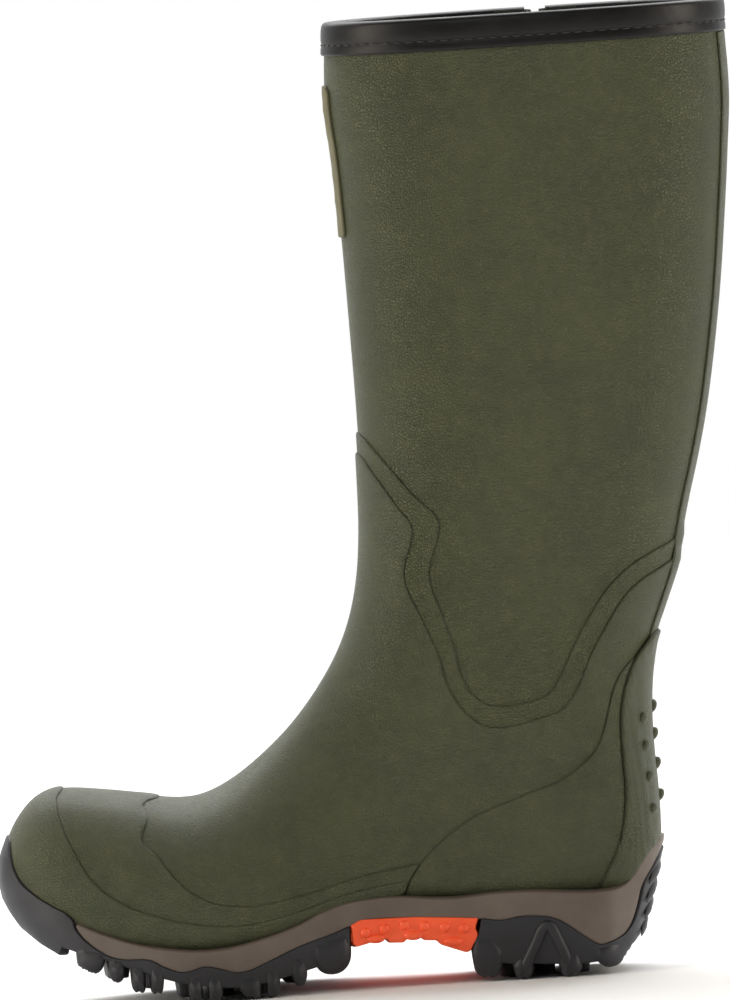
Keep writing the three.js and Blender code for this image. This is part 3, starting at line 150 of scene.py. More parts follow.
TOE_CAP_LINE = [
    [34, 112], [31, 100], [28.8, 98.7], [28.2, 94.4], [29, 89], [31.2, 82], [33.5, 76.5], [37, 69],
    [42, 60.1],
    [48, 53.6], [54.2, 49], [61.8, 44.8], [69.4, 42], [79.3, 38.6], [90.7, 36], [102, 34.7], [113.7, 34.4],
    [132.7, 37.6], [145.6, 40.9], [158.8, 44.6], [183.4, 48.2], [260, 53],
]
HEEL_PANEL_LINE = [
    [184, 30], [186.2, 43.5], [188.3, 48.2], [192.3, 54], [196.9, 59.4], [202.1, 63.9],
    [209.7, 70.1], [218.6, 75.7], [228.6, 79.8], [238.5, 83.1], [248.4, 86.7], [258.3, 89.7],
    [274.6, 100.4], [279, 105.5], [282.2, 113.4], [284.9, 122.8], [287.4, 130.7], [291.2, 137.3],
    [295.6, 141.7], [299.9, 144.6], [304, 147], [330, 156],
]
KICK_LINE = [
    [271.4, 26], [276.7, 39.9], [279.2, 47.2], [283.8, 55], [287, 63], [289.1, 73.7], [290.1, 84.5],
    [289.8, 95.3], [289.6, 106.2], [289.8, 115.7], [291, 123.7], [292.8, 130.4], [296, 138.3],
    [299.8, 144.3], [303.5, 148.2], [308.6, 153.6], [330, 158],
]
HEEL_FOLD = [
    [206, 50], [222, 58], [240, 67], [252, 74], [262, 81], [268.6, 88.4], [272.4, 96], [275.6, 104],
]
# Where the taupe foxing, the black tread and the orange arch meet.
TREAD_TOP = [
    [33, 39.2], [38, 32.6], [47, 25.6], [54, 23.2], [67, 22.2], [73, 18.8], [81, 15.7], [86, 16.2],
    [91.6, 17.6],
    [98.6, 16.2], [105, 14], [111, 13.9], [120.7, 17.4], [136, 23.5], [152, 28.2], [160, 31.2],
]
ARCH_TOP = [[160, 31.2], [167, 33.2], [190, 32.6], [219, 30.2]]
HEEL_TREAD_TOP = [
    [219, 30.2], [229, 28.8], [237, 30], [250, 29.2], [256.4, 26.6], [264, 20.8], [272.5, 15],
    [276, 15], [285, 18.6],
    [289.4, 24], [292.7, 32], [295.4, 40.3], [300.9, 48.3], [307, 58],
]
PLATE_LINE = [
    [14, 40], [20, 34], [26, 29], [33, 26], [46, 22], [60, 16.4], [72, 12], [84, 8.6], [100, 5.8],
    [112, 5.4],
    [125, 7.6], [140, 11], [162, 16],
]
HEEL_PLATE_LINE = [
    [210, 12], [222, 8.6], [232, 7.1], [242, 6.4], [254, 5.7], [268, 5.3], [280, 7.2], [288, 11], [293, 15],
]
TOE_DRAW = [[-2, 66], [8, 56], [16, 40], [24, 26], [31, 15.4], [38, 7.3], [46, 2.6], [55, 0.5], [62, 0],
    [70, 1.2], [84, 7]]
BUMPER_LOW = [[-20, 52], [0, 50], [3, 44.4], [7.8, 37], [16.5, 30], [25.8, 24.4], [27.4, 28.6], [33, 26]]
HEEL_DRAW = [[-2, 26], [8, 19], [16, 12.5], [24, 9], [32, 6.2], [40, 4.2], [50, 1.2], [60, -1.4],
    [84, -1.4]]
SIDE_DRAW = [[-2, 4], [8, 2.4], [16, 1], [24, 0], [40, 0.6], [60, 2], [84, 4]]


# ---- curves
def smooth_line(points, steps=8):
    """A centripetal Catmull-Rom line through given points, the spline that the last is drawn with."""
    p = np.array(points, float)
    p = np.vstack([2 * p[0] - p[1], p, 2 * p[-1] - p[-2]])
    k = np.linspace(0, 1, steps, endpoint=False)[:, None]
    found = []
    for p0, p1, p2, p3 in zip(p, p[1:], p[2:], p[3:]):
        pairs = (p0, p1), (p1, p2), (p2, p3)
        d0, d1, d2 = (max(float(np.sum((b - a) ** 2)) ** 0.25, 1e-4) for a, b in pairs)
        m1 = ((p1 - p0) / d0 - (p2 - p0) / (d0 + d1) + (p2 - p1) / d1) * d1
        m2 = ((p2 - p1) / d1 - (p3 - p1) / (d1 + d2) + (p3 - p2) / d2) * d1
        found.append(p1 + m1 * k + (3 * (p2 - p1) - 2 * m1 - m2) * k**2 + (2 * (p1 - p2) + m1 + m2) * k**3)
    return np.vstack([*found, p[-2][None]])


def value_at(rows, s, column=1):
    """A smooth value through [station, value, ...] rows."""
    rows = np.array([r[: column + 1] for r in rows], float)
    x, y = rows[:, 0], rows[:, column]
    after, before = np.minimum(np.arange(len(x)) + 1, len(x) - 1), np.maximum(np.arange(len(x)) - 1, 0)
    slope = (y[after] - y[before]) / (x[after] - x[before])
    i = np.clip(np.searchsorted(x, s) - 1, 0, len(x) - 2)
    span = x[i + 1] - x[i]
    k = np.clip((s - x[i]) / span, 0, 1)
    ends = y[i] * (1 + 2 * k) * (1 - k) ** 2 + y[i + 1] * k * k * (3 - 2 * k)
    return ends + span * (slope[i] * k * (1 - k) ** 2 - slope[i + 1] * k * k * (1 - k))


def offset(line, t, turn):
    """A line moved by t towards its inside, which is on its left where turn is 1."""
    line = np.asarray(line, float)
    along = np.vstack([line[1] - line[0], line[2:] - line[:-2], line[-1] - line[-2]])
    length = np.linalg.norm(along, axis=1)
    moved = line + turn * t * np.stack([-along[:, 1], along[:, 0]], 1) / length[:, None]
    if abs(line[-1, 0] - line[0, 0]) > 1:
        moved[-1] = line[-1] + [t if line[-1, 0] < PIVOT_X else -t, 0]
    return moved


def crossing(line, origin, direction):
    """How far along a ray a line first crosses it, or None."""
    side = direction[0] * (line[:, 1] - origin[1]) - direction[1] * (line[:, 0] - origin[0])
    for i in np.nonzero((side[:-1] * side[1:] <= 0) & (side[:-1] != side[1:]))[0]:
        point = line[i] + (line[i + 1] - line[i]) * side[i] / (side[i] - side[i + 1])
        reach = float((point - origin) @ np.array(direction))
        if reach > -1e-6:
            return reach
    return None


def right_of(points, line):
    """Distance of [x, z] points from a line, positive on the right hand of its direction."""
    line = np.asarray(line, float)
    best, sign = np.full(len(points), 1e9), np.ones(len(points))
    for a, b in zip(line[:-1], line[1:]):
        d = b - a
        r = points - a
        k = np.clip((r @ d) / max(d @ d, 1e-12), 0, 1)
        gap = np.hypot(r[:, 0] - k * d[0], r[:, 1] - k * d[1])
        nearer = gap < best
        best = np.where(nearer, gap, best)
        sign = np.where(nearer, np.sign(r[:, 0] * d[1] - r[:, 1] * d[0] + 1e-12), sign)
    return best * sign


# ---- the last's surface
STEPS = 6
front_line, back_line = smooth_line(FRONT_LINE, STEPS), smooth_line(BACK_LINE, STEPS)
medial_line, lateral_line = smooth_line(MEDIAL_EDGE, STEPS), smooth_line(LATERAL_EDGE, STEPS)
lines_at = {}


def last_lines(t):
    """Front, back, inner and outer lines of the last at depth t under the bare shell."""
    if t not in lines_at:
        tip = [SHELL_INSET + t, MEDIAL_EDGE[0][1]]
        inner, outer = offset(medial_line, SHELL_INSET + t, 1), offset(lateral_line, SHELL_INSET + t, -1)
        inner[0] = outer[0] = tip
        lines_at[t] = offset(front_line, t, 1), offset(back_line, t, -1), inner, outer
    return lines_at[t]


def edge_at(line, x):
    reach = crossing(line, np.array([x, -200.0]), (0, 1))
    return line[0][1] if reach is None else reach - 200


waist_halves = []


def section(s, t):
    """One cross-section: where it starts, its direction, its length, half widths and cap lengths."""
    front, back, inner, outer = last_lines(t)
    pivot = np.array([PIVOT_X, ANKLE_HEIGHT], float)
    if s <= 1:
        origin, direction = np.array([0, BOOT_HEIGHT + (ANKLE_HEIGHT - BOOT_HEIGHT) * s]), (1, 0)
    elif s <= 2:
        turn = (s - 1) * math.pi / 2
        origin, direction = pivot, (math.cos(turn), -math.sin(turn))
    else:
        tip = SHELL_INSET + t
        reach = tip + (pivot[0] - tip) * max(1e-6, (3 - s) ** 2)
        origin, direction = np.array([reach, ANKLE_HEIGHT]), (0, -1)
    start, end = crossing(front, origin, direction), crossing(back, origin, direction)
    start = ANKLE_HEIGHT - TIP[1] if start is None else start
    end = ANKLE_HEIGHT - TIP[1] if end is None else end
    length = max(1e-4, end - start)
    keel, ridge = value_at(KEEL, s), value_at(RIDGE, s)
    shares = np.array([value_at(CAPS, s, 1), value_at(CAPS, s, 2)])
    if s > 2 and t != 0:
        halves = np.array([keel - edge_at(inner, origin[0]), edge_at(outer, origin[0]) - keel])
        caps = section(s, 0)[5] - t if s < TOE_STATION else shares * length
        return origin, direction, start, length, np.maximum(halves, 0), caps, keel, ridge
    if t != 0:
        bare = section(s, 0)
        return origin, direction, start, length, bare[4] - t, bare[5] - t, keel, ridge
    caps = shares * length
    widest = origin[0] + direction[0] * (end - caps[1])
    halves = np.array([keel - edge_at(inner, widest), edge_at(outer, widest) - keel])
    if s < SOLE_STATION:
        at = waist_halves or list(halves)
        rows = [[*SHAFT_HALVES, [SOLE_STATION, w], [SOLE_STATION + 0.3, w + 6]] for w in at]
        halves = np.array([value_at(row, s) for row in rows])
    return origin, direction, start, length, np.maximum(halves, 0), caps, keel, ridge


waist_halves.extend(section(SOLE_STATION, 0)[4])
CAP_STEPS, FLANK_STEPS = 34, 12


def ring(s, t):
    """A closed ring of points, in the row frame, round one section at depth t."""
    origin, direction, start, length, halves, caps, keel, ridge = section(s, t)
    a = np.linspace(0, math.pi / 2, CAP_STEPS + 1)
    front_power, back_power = 2 / value_at(CAPS, s, 3), 2 / value_at(CAPS, s, 4)
    cos, sin = np.abs(np.cos(a)), np.sin(a)
    front = np.stack([caps[0] * (1 - cos**front_power), sin**front_power], 1)
    back = np.stack([length - caps[1] * (1 - cos**back_power), sin**back_power], 1)[::-1]
    flank = np.linspace(front[-1], back[0], FLANK_STEPS + 1)[1:-1]
    outline = np.vstack([front, flank, back])
    middle = ridge + (keel - ridge) * outline[:, 0] / length
    reach = start + outline[:, 0]
    x, z = origin[0] + direction[0] * reach, origin[1] + direction[1] * reach
    inner = np.stack([x, middle - outline[:, 1] * halves[0], z], 1)
    outer = np.stack([x, middle + outline[:, 1] * halves[1], z], 1)[1:-1][::-1]
    return (np.vstack([inner, outer]) + HOME) * MM


RIM_STATION = (BINDING_WALL + FIT_GAP) / (BOOT_HEIGHT - ANKLE_HEIGHT)
STATIONS = np.concatenate([np.linspace(RIM_STATION, 1, 60), np.linspace(1, 2, 66)[1:],
    np.linspace(2, 3, 44)[1:]])
skins = {}


def skin(t):
    """The whole surface at depth t as a grid of points: one row for each station."""
    if t not in skins:
        skins[t] = np.stack([ring(s, t) for s in STATIONS])
    return skins[t]


def in_row(points):
    """A list of points, in millimetres from the toe tip."""
    return points.reshape(-1, 3) / MM - HOME


def side_view(points):
    """[x, z] from the toe tip, in millimetres."""
    return in_row(points)[:, [0, 2]]


def row_frame(points):
    """Millimetres from the toe tip to metres in the frame."""
    return (np.asarray(points, float) + HOME) * MM


def box_in_row(name):
    """A CAD piece's low and high corners, in millimetres from the toe tip."""
    return [np.array(corner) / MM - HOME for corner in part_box(name)]


def outward(base, face):
    """Unit vectors from one grid of points towards another."""
    out = face - base
    return out / np.maximum(np.linalg.norm(out, axis=2, keepdims=True), 1e-9)


# ---- meshes
FAR_FROM_EDGE = 50.0


def finished(name, mesh, material, body="boot", sharp=50):
    """Puts a mesh in the scene as a piece that rides on a CAD body."""
    mesh.name = name
    mesh.materials.clear()
    mesh.materials.append(material)
    if "trim" not in mesh.attributes:
        trim = mesh.attributes.new("trim", "FLOAT", "POINT")
        trim.data.foreach_set("value", np.full(len(mesh.vertices), FAR_FROM_EDGE, np.float32))
    mesh.shade_smooth()
    mesh.set_sharp_from_angle(angle=math.radians(sharp))
    piece = bpy.data.objects.new(name, mesh)
    bpy.context.scene.collection.objects.link(piece)
    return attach(piece, body)


def stand_for(piece, node):
    """The piece takes the place of a CAD node, which is hidden."""
    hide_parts(node)
    return piece


def mesh_of(points, faces, trim=None, weld=2e-6):
    """A closed mesh from points in metres: welded, its faces outwards, each point marked with its distance
    from a trimmed edge."""
    points, faces = np.asarray(points, float), np.asarray(faces)
    a, b, c = (points[faces[:, n]] for n in range(3))
    volume = np.einsum("ij,ij->i", a, np.cross(b, c)).sum()
    if faces.shape[1] == 4:
        d = points[faces[:, 3]]
        volume += np.einsum("ij,ij->i", a, np.cross(c, d)).sum()
    if volume < 0:
        faces = faces[:, ::-1]
    mesh = bpy.data.meshes.new("mesh")
    mesh.from_pydata(points.tolist(), [], faces.tolist())
    edited = bmesh.new()
    edited.from_mesh(mesh)
    layer = edited.verts.layers.float.new("trim")
    distance = np.full(len(points), FAR_FROM_EDGE) if trim is None else trim
    for vertex, value in zip(edited.verts, distance):
        vertex[layer] = float(value)
    bmesh.ops.remove_doubles(edited, verts=edited.verts, dist=weld)
    bmesh.ops.dissolve_degenerate(edited, edges=edited.edges, dist=weld / 4)
    edited.to_mesh(mesh)
    edited.free()
    return mesh


def join_meshes(meshes):
    """Several closed bodies as the one mesh of a piece."""
    joined = bmesh.new()
    for mesh in meshes:
        joined.from_mesh(mesh)
        bpy.data.meshes.remove(mesh)
    made = bpy.data.meshes.new("joined")
    joined.to_mesh(made)
    joined.free()
    return made


def cut_triangles(table, triangles, level):
    """Splits every triangle that crosses a level of the table's last column."""
    over = table[:, -1] > level
    count = over[triangles].sum(1)
    mixed = (count == 1) | (count == 2)
    crossed, flags = triangles[mixed], over[triangles[mixed]]
    lone = np.where(flags.sum(1) == 1, flags.argmax(1), flags.argmin(1))
    rows = np.arange(len(crossed))
    a, b, c = (crossed[rows, (lone + n) % 3] for n in range(3))
    edges = np.vstack([np.sort(np.stack([a, b], 1), 1), np.sort(np.stack([a, c], 1), 1)])
    unique, index = np.unique(edges, axis=0, return_inverse=True)
    index = index.reshape(-1) + len(table)
    p, q = table[unique[:, 0]], table[unique[:, 1]]
    k = (level - p[:, -1]) / (q[:, -1] - p[:, -1])
    table = np.vstack([table, p + (q - p) * k[:, None]])
    ab, ac = index[: len(crossed)], index[len(crossed) :]
    split = np.vstack([np.stack([a, ab, ac], 1), np.stack([ab, b, c], 1), np.stack([ab, c, ac], 1)])
    return table, np.vstack([triangles[~mixed], split])


def grid_triangles(rows, columns, closed):
    """Triangles of a grid of points, joined round its columns where it is closed."""
    r, c = np.meshgrid(np.arange(rows - 1), np.arange(columns if closed else columns - 1), indexing="ij")
    a, b = r * columns + c, r * columns + (c + 1) % columns
    d, e = a + columns, b + columns
    return np.vstack([np.stack([a.ravel(), b.ravel(), e.ravel()], 1),
        np.stack([a.ravel(), e.ravel(), d.ravel()], 1)])


ROUND_STEPS = np.array([0.0, 0.04, 0.16, 0.38, 0.68, 1.0])


def trimmed_mesh(base, face, field, edge, closed=True):
    """A closed wall between two grids of points, kept where field is positive.
    Its face is rounded over at the trim. The grids are in metres, field and edge in millimetres."""
    rows, columns = base.shape[:2]
    table = np.hstack([base.reshape(-1, 3), face.reshape(-1, 3),
        np.asarray(field, float).reshape(-1, 1) + 1e-7])
    triangles = grid_triangles(rows, columns, closed)
    for level in ROUND_STEPS * edge:
        table, triangles = cut_triangles(table, triangles, level)
    triangles = triangles[table[triangles, -1].mean(1) > 0]
    used, triangles = np.unique(triangles, return_inverse=True)
    table, triangles = table[used], triangles.reshape(-1, 3)
    depth = np.clip(table[:, -1] / edge, 0, 1)
    rise = np.sqrt(np.clip(1 - (1 - depth) ** 2, 0, 1))[:, None]
    low, high = table[:, :3], table[:, 3:6]
    top = low + (high - low) * rise
    count = len(top)
    on_trim = table[:, -1] <= 1e-6
    under = np.where(on_trim, np.arange(count), np.arange(count) + count)
    ways = triangles[:, [0, 1, 1, 2, 2, 0]].reshape(-1, 2)
    code = ways[:, 0] * count + ways[:, 1]
    loose = ways[~np.isin(code, ways[:, 1] * count + ways[:, 0])]
    loose = loose[~(on_trim[loose[:, 0]] & on_trim[loose[:, 1]])]
    a, b = loose[:, 0], loose[:, 1]
    sides = np.vstack([np.stack([b, a, under[a]], 1), np.stack([b, under[a], under[b]], 1)])
    faces = np.vstack([triangles, under[triangles[:, ::-1]], sides])
    return mesh_of(np.vstack([top, low]), faces, np.concatenate([table[:, -1], table[:, -1]]))


# ---- material helpers
def colour(code):
    """An sRGB hex colour as a linear RGBA value."""
    parts = [int(code[i : i + 2], 16) / 255 for i in (1, 3, 5)]
    return [*(p / 12.92 if p <= 0.04045 else ((p + 0.055) / 1.055) ** 2.4 for p in parts), 1.0]


def add(tree, kind, settings=None, **inputs):
    """Adds a node, sets its properties, and sets or links its inputs by name."""
    node = tree.nodes.new(kind)
    for key, value in (settings or {}).items():
        setattr(node, key, value)
    for key, value in inputs.items():
        key = key.replace("_", " ")
        socket = node.inputs[int(key[3:])] if key.startswith("in ") else node.inputs[key]
        if isinstance(value, bpy.types.NodeSocket):
            tree.links.new(value, socket)
        else:
            socket.default_value = value
    return node


def new_material(name):
    material = bpy.data.materials.new(name)
    material.use_nodes = True
    material.node_tree.nodes.clear()
    return material, material.node_tree


def principled(tree, **inputs):
    """The tree's surface, a physically based shader."""
    shader = add(tree, "ShaderNodeBsdfPrincipled", **inputs)
    add(tree, "ShaderNodeOutputMaterial", Surface=shader.outputs["BSDF"])


def maths(tree, operation, *values):
    """The result of one arithmetic node."""
    inputs = {f"in_{n}": value for n, value in enumerate(values)}
    return add(tree, "ShaderNodeMath", {"operation": operation}, **inputs).outputs[0]


def per_metre(size_mm):
    """Texture scale whose features are about this many millimetres wide."""
    return 1 / (size_mm * MM)


def noise(tree, where, size_mm, detail=3.0, roughness=0.55):
    return add(tree, "ShaderNodeTexNoise", Vector=where, Scale=per_metre(size_mm), Detail=detail,
        Roughness=roughness)


def blend_colours(tree, share, low, high):
    mix = add(tree, "ShaderNodeMix", {"data_type": "RGBA"}, in_0=share, in_6=low, in_7=high)
    return mix.outputs[2]


def stepped(tree, value, low, high, out_low=0.0, out_high=1.0):
    node = add(tree, "ShaderNodeMapRange", Value=value, From_Min=low, From_Max=high, To_Min=out_low,
        To_Max=out_high)
    return node.outputs["Result"]


def trim_shade(tree, reach_mm):
    """0 at a trimmed edge and 1 past reach_mm from it: the mask of the painted shade in the crease at that
    edge.
    """
    trim = add(tree, "ShaderNodeAttribute", {"attribute_name": "trim"})
    return stepped(tree, trim.outputs["Fac"], 0.0, reach_mm)


def grained_rubber(name, base, dark, light, grain_mm, groove_mm, roughness, edge_shade_mm=0.55):
    """Vulcanised natural rubber, fine wrinkled grain: satin, paler cell tops in patches, painted shade in
    grooves and at edges.
    """
    material, tree = new_material(name)
    where = add(tree, "ShaderNodeTexCoord").outputs["Object"]
    warp = noise(tree, where, grain_mm * 2.4, 2.0)
    shift = add(tree, "ShaderNodeVectorMath", {"operation": "SCALE"}, in_0=warp.outputs["Color"],
        Scale=grain_mm * MM * 1.3)
    warped = add(tree, "ShaderNodeVectorMath", {"operation": "ADD"}, in_0=where,
        in_1=shift.outputs["Vector"])
    cells = add(
        tree, "ShaderNodeTexVoronoi", {"feature": "DISTANCE_TO_EDGE"}, Vector=warped.outputs["Vector"],
        Scale=per_metre(grain_mm),
    )
    wrinkle = stepped(tree, cells.outputs["Distance"], 0.0, 0.16)
    fine = noise(tree, where, grain_mm * 0.45, 3.0)
    broad = noise(tree, where, 38.0, 3.0, 0.6)
    patches = noise(tree, where, 7.0, 3.0, 0.6)
    tone = blend_colours(tree, stepped(tree, broad.outputs["Fac"], 0.35, 0.68), colour(dark), colour(base))
    # the grain cells are paler towards their tops, in random patches
    paler_tops = maths(tree, "MULTIPLY", wrinkle, stepped(tree, patches.outputs["Fac"], 0.42, 0.75))
    paler_tops = maths(tree, "MULTIPLY", paler_tops, 0.55)
    tone = blend_colours(tree, paler_tops, tone, colour(light))
    # painted shade: the grain's grooves are darkened towards #23231a
    groove_shaded = blend_colours(tree, stepped(tree, wrinkle, 0.0, 1.0, 0.72, 1.0), colour("#23231a"), tone)
    # painted shade: the colour darkens towards #1c1d15 near a trimmed edge, for the shadow in the crease
    # there
    edge_shaded = blend_colours(tree, stepped(tree, trim_shade(tree, edge_shade_mm), 0.0, 1.0, 0.55, 1.0),
        colour("#1c1d15"), groove_shaded)
    height = maths(tree, "MULTIPLY_ADD", fine.outputs["Fac"], 0.55, wrinkle)
    bump = add(tree, "ShaderNodeBump", Strength=0.8, Distance=groove_mm * MM, Height=height)
    sheen = stepped(tree, patches.outputs["Fac"], 0.3, 0.7, roughness - 0.05, roughness + 0.07)
    principled(
        tree, Base_Color=edge_shaded, Roughness=sheen, IOR=1.519, Normal=bump.outputs["Normal"],
        Specular_IOR_Level=0.38,
    )
    return material


def moulded_rubber(name, base, dark, roughness, grain_mm=0.8, edge_shade_mm=0.7, depth_mm=0.06):
    """Compression-moulded rubber: matt, with the fine texture of its steel mould, a dusty bloom and painted
    shade along its trimmed edges.
    """
    material, tree = new_material(name)
    where = add(tree, "ShaderNodeTexCoord").outputs["Object"]
    grit = noise(tree, where, grain_mm, 4.0, 0.65)
    bloom = noise(tree, where, 16.0, 4.0, 0.6)
    tone = blend_colours(tree, stepped(tree, bloom.outputs["Fac"], 0.3, 0.7), colour(dark), colour(base))
    speck = stepped(tree, grit.outputs["Fac"], 0.25, 0.75, 0.7, 1.0)
    tone = blend_colours(tree, speck, colour(dark), tone)
    # painted shade: the colour darkens towards #131313 near a trimmed edge, for the shadow in the crease
    # there
    edge_shaded = blend_colours(tree, stepped(tree, trim_shade(tree, edge_shade_mm), 0.0, 1.0, 0.6, 1.0),
        colour("#131313"), tone)
    bump = add(tree, "ShaderNodeBump", Strength=0.6, Distance=depth_mm * MM, Height=grit.outputs["Fac"])
    shine = stepped(tree, bloom.outputs["Fac"], 0.3, 0.7, roughness + 0.06, roughness - 0.04)
    principled(
        tree, Base_Color=edge_shaded, Roughness=shine, IOR=1.519, Normal=bump.outputs["Normal"],
    )
    return material


def coated_webbing(name, base, dark, thread_mm):
    """Polyester tape coated with polyurethane: the weave still reads as a fine rib under a satin skin."""
    material, tree = new_material(name)
    where = add(tree, "ShaderNodeTexCoord").outputs["Object"]
    rib = add(
        tree, "ShaderNodeTexWave", {"wave_type": "BANDS", "bands_direction": "DIAGONAL"}, Vector=where,
        Scale=per_metre(thread_mm) / 20, Distortion=1.5, Detail=2.0,
    )
    crinkle = noise(tree, where, 1.6, 4.0, 0.6)
    scuff = noise(tree, where, 22.0, 4.0, 0.65)
    tone = blend_colours(tree, stepped(tree, scuff.outputs["Fac"], 0.45, 0.75), colour(dark), colour(base))
    height = maths(tree, "MULTIPLY_ADD", rib.outputs["Fac"], 0.3, crinkle.outputs["Fac"])
    bump = add(tree, "ShaderNodeBump", Strength=0.5, Distance=0.12 * MM, Height=height)
    principled(
        tree, Base_Color=tone, IOR=1.5, Normal=bump.outputs["Normal"],
        Specular_IOR_Level=0.28, Roughness=stepped(tree, scuff.outputs["Fac"], 0.3, 0.7, 0.34, 0.48),
    )
    return material


def knitted(name, base, dark, stitch_mm, fuzz):
    """Weft-knitted polyester: rows of small loops with painted shade between them, and a brushed,
    light-catching nap.
    """
    material, tree = new_material(name)
    where = add(tree, "ShaderNodeTexCoord").outputs["Object"]
    scale = per_metre(stitch_mm)
    loops = add(tree, "ShaderNodeTexVoronoi", {"feature": "F1"}, Vector=where, Scale=scale, Randomness=0.35)
    nap = noise(tree, where, stitch_mm * 0.5, 5.0, 0.7)
    wear = noise(tree, where, 25.0, 3.0, 0.6)
    # painted shade between the knit loops, times a random wear tone
    shade = maths(tree, "MULTIPLY", stepped(tree, loops.outputs["Distance"], 0.0, 0.8, 1.0, 0.35),
        stepped(tree, wear.outputs["Fac"], 0.3, 0.7, 0.75, 1.0))
    tone = blend_colours(tree, shade, colour(dark), colour(base))
    height = maths(tree, "SUBTRACT", nap.outputs["Fac"], loops.outputs["Distance"])
    bump = add(tree, "ShaderNodeBump", Strength=0.7, Distance=0.25 * MM, Height=height)
    principled(
        tree, Base_Color=tone, Roughness=0.95, IOR=1.5, Normal=bump.outputs["Normal"],
        Sheen_Weight=fuzz, Sheen_Roughness=0.5, Sheen_Tint=colour(base),
    )
    return material


def woven_cloth(name, base, dark, thread_mm):
    """Plain-woven nylon, proofed on its back: warp and weft cross in a fine check with a dull lustre."""
    material, tree = new_material(name)
    where = add(tree, "ShaderNodeTexCoord").outputs["Object"]
    waves = []
    for direction in ("X", "Z"):
        waves.append(add(
            tree, "ShaderNodeTexWave", {"wave_type": "BANDS", "bands_direction": direction}, Vector=where,
            Scale=per_metre(thread_mm) / 20, Distortion=0.6, Detail=1.0,
        ))
    weave = maths(tree, "MULTIPLY", waves[0].outputs["Fac"], waves[1].outputs["Fac"])
    crease = noise(tree, where, 9.0, 3.0)
    tone = blend_colours(tree, stepped(tree, weave, 0.1, 0.9), colour(dark), colour(base))
    height = maths(tree, "MULTIPLY_ADD", crease.outputs["Fac"], 2.0, weave)
    bump = add(tree, "ShaderNodeBump", Strength=0.5, Distance=0.15 * MM, Height=height)
    principled(
        tree, Base_Color=tone, Roughness=0.8, IOR=1.5, Normal=bump.outputs["Normal"],
        Sheen_Weight=0.2, Sheen_Roughness=0.4,
    )
    return material


def plated_steel(name, base, scratch_mm, roughness):
    """Steel wire and plate with a dark nickel plating, tumbled: low gloss, fine rubbed marks."""
    material, tree = new_material(name)
    where = add(tree, "ShaderNodeTexCoord").outputs["Object"]
    stretched = add(tree, "ShaderNodeMapping", Vector=where, Scale=(1.0, 1.0, 0.12))
    rubs = noise(tree, stretched.outputs["Vector"], scratch_mm, 4.0, 0.7)
    tone = blend_colours(tree, stepped(tree, rubs.outputs["Fac"], 0.35, 0.7), colour("#3a3937"),
        colour(base))
    bump = add(tree, "ShaderNodeBump", Strength=0.25, Distance=0.03 * MM, Height=rubs.outputs["Fac"])
    principled(
        tree, Base_Color=tone, Metallic=1.0, Normal=bump.outputs["Normal"],
        Roughness=stepped(tree, rubs.outputs["Fac"], 0.3, 0.7, roughness - 0.06, roughness + 0.1),
    )
    return material


GREEN_RUBBER = grained_rubber("green_natural_rubber", "#454a2c", "#3d4227", "#5b593e", 1.35, 0.45, 0.45)
GREEN_SMOOTH = grained_rubber("green_rubber_foot", "#454a2e", "#3d4229", "#5b593f", 1.2, 0.34, 0.44)
OLIVE_RUBBER = moulded_rubber("olive_badge_rubber", "#625d3a", "#575231", 0.6, 1.2, 1.2)
BLACK_RUBBER = moulded_rubber("black_tread_rubber", "#1f1f25", "#16161a", 0.5, 0.9, 0.6)
TAUPE_RUBBER = moulded_rubber("taupe_foxing_rubber", "#665b51", "#584d45", 0.55, 0.8, 0.9)
ORANGE_RUBBER = moulded_rubber("orange_arch_rubber", "#ff6232", "#f25425", 0.48, 1.0, 0.8)
BLACK_BINDING = coated_webbing("coated_binding_tape", "#161415", "#0e0d0d", 0.7)
THREAD_BLACK = moulded_rubber("bonded_polyester_thread", "#232122", "#171617", 0.6, 0.3)
NEOPRENE = knitted("knit_faced_neoprene", "#2f3134", "#1f2022", 0.8, 0.2)
LINING_KNIT = knitted("brushed_knit_lining", "#42463a", "#2b2e26", 1.4, 0.5)
FOOTBED_FELT = knitted("pressed_wool_felt", "#6c6d63", "#50514a", 0.7, 0.4)
GUSSET_CLOTH = woven_cloth("proofed_nylon_cloth", "#3f4435", "#2a2e23", 0.9)
STIFF_FELT = knitted("resin_stiffened_felt", "#77766a", "#5a5950", 1.0, 0.1)
FIBRE_BOARD = moulded_rubber("pressed_fibre_board", "#8f8472", "#7a705f", 0.85, 0.6)
SHANK_STEEL = plated_steel("tempered_spring_steel", "#9b9da1", 0.6, 0.35)
GUNMETAL = plated_steel("dark_plated_steel", "#6d6a66", 0.5, 0.34)


# ---- the upper's skins
def slit_clear(points, spread=0.0):
    """Distance from the V slit at the outer side of the rim, in millimetres."""
    flat = in_row(points)
    x, y, z = flat[:, 0] - SLIT_X, flat[:, 1], flat[:, 2] - SLIT_FOOT
    half = SLIT_GAP / 2 * np.maximum(z, 0) / (SLIT_LENGTH + 5) + spread
    gap = np.where(z > 0, np.abs(x) - half, np.hypot(x, z) - spread)
    return np.where(y > 0, gap, 1e3)


def under(points, line):
    return right_of(side_view(points), smooth_line(line, 4))


def above(points, line):
    return -right_of(side_view(points), np.array(line, float))


LAYER_TUCK = 2.0
LAYER_EDGE = 1.6  # how far a layer's edge is rounded over
SOLE_TOP = [*BUMPER_TOP, *FOXING_TOP[1:], [700, FOXING_TOP[-1][1]]]
TUCK_LINE = [[x, z - LAYER_TUCK] for x, z in SOLE_TOP]


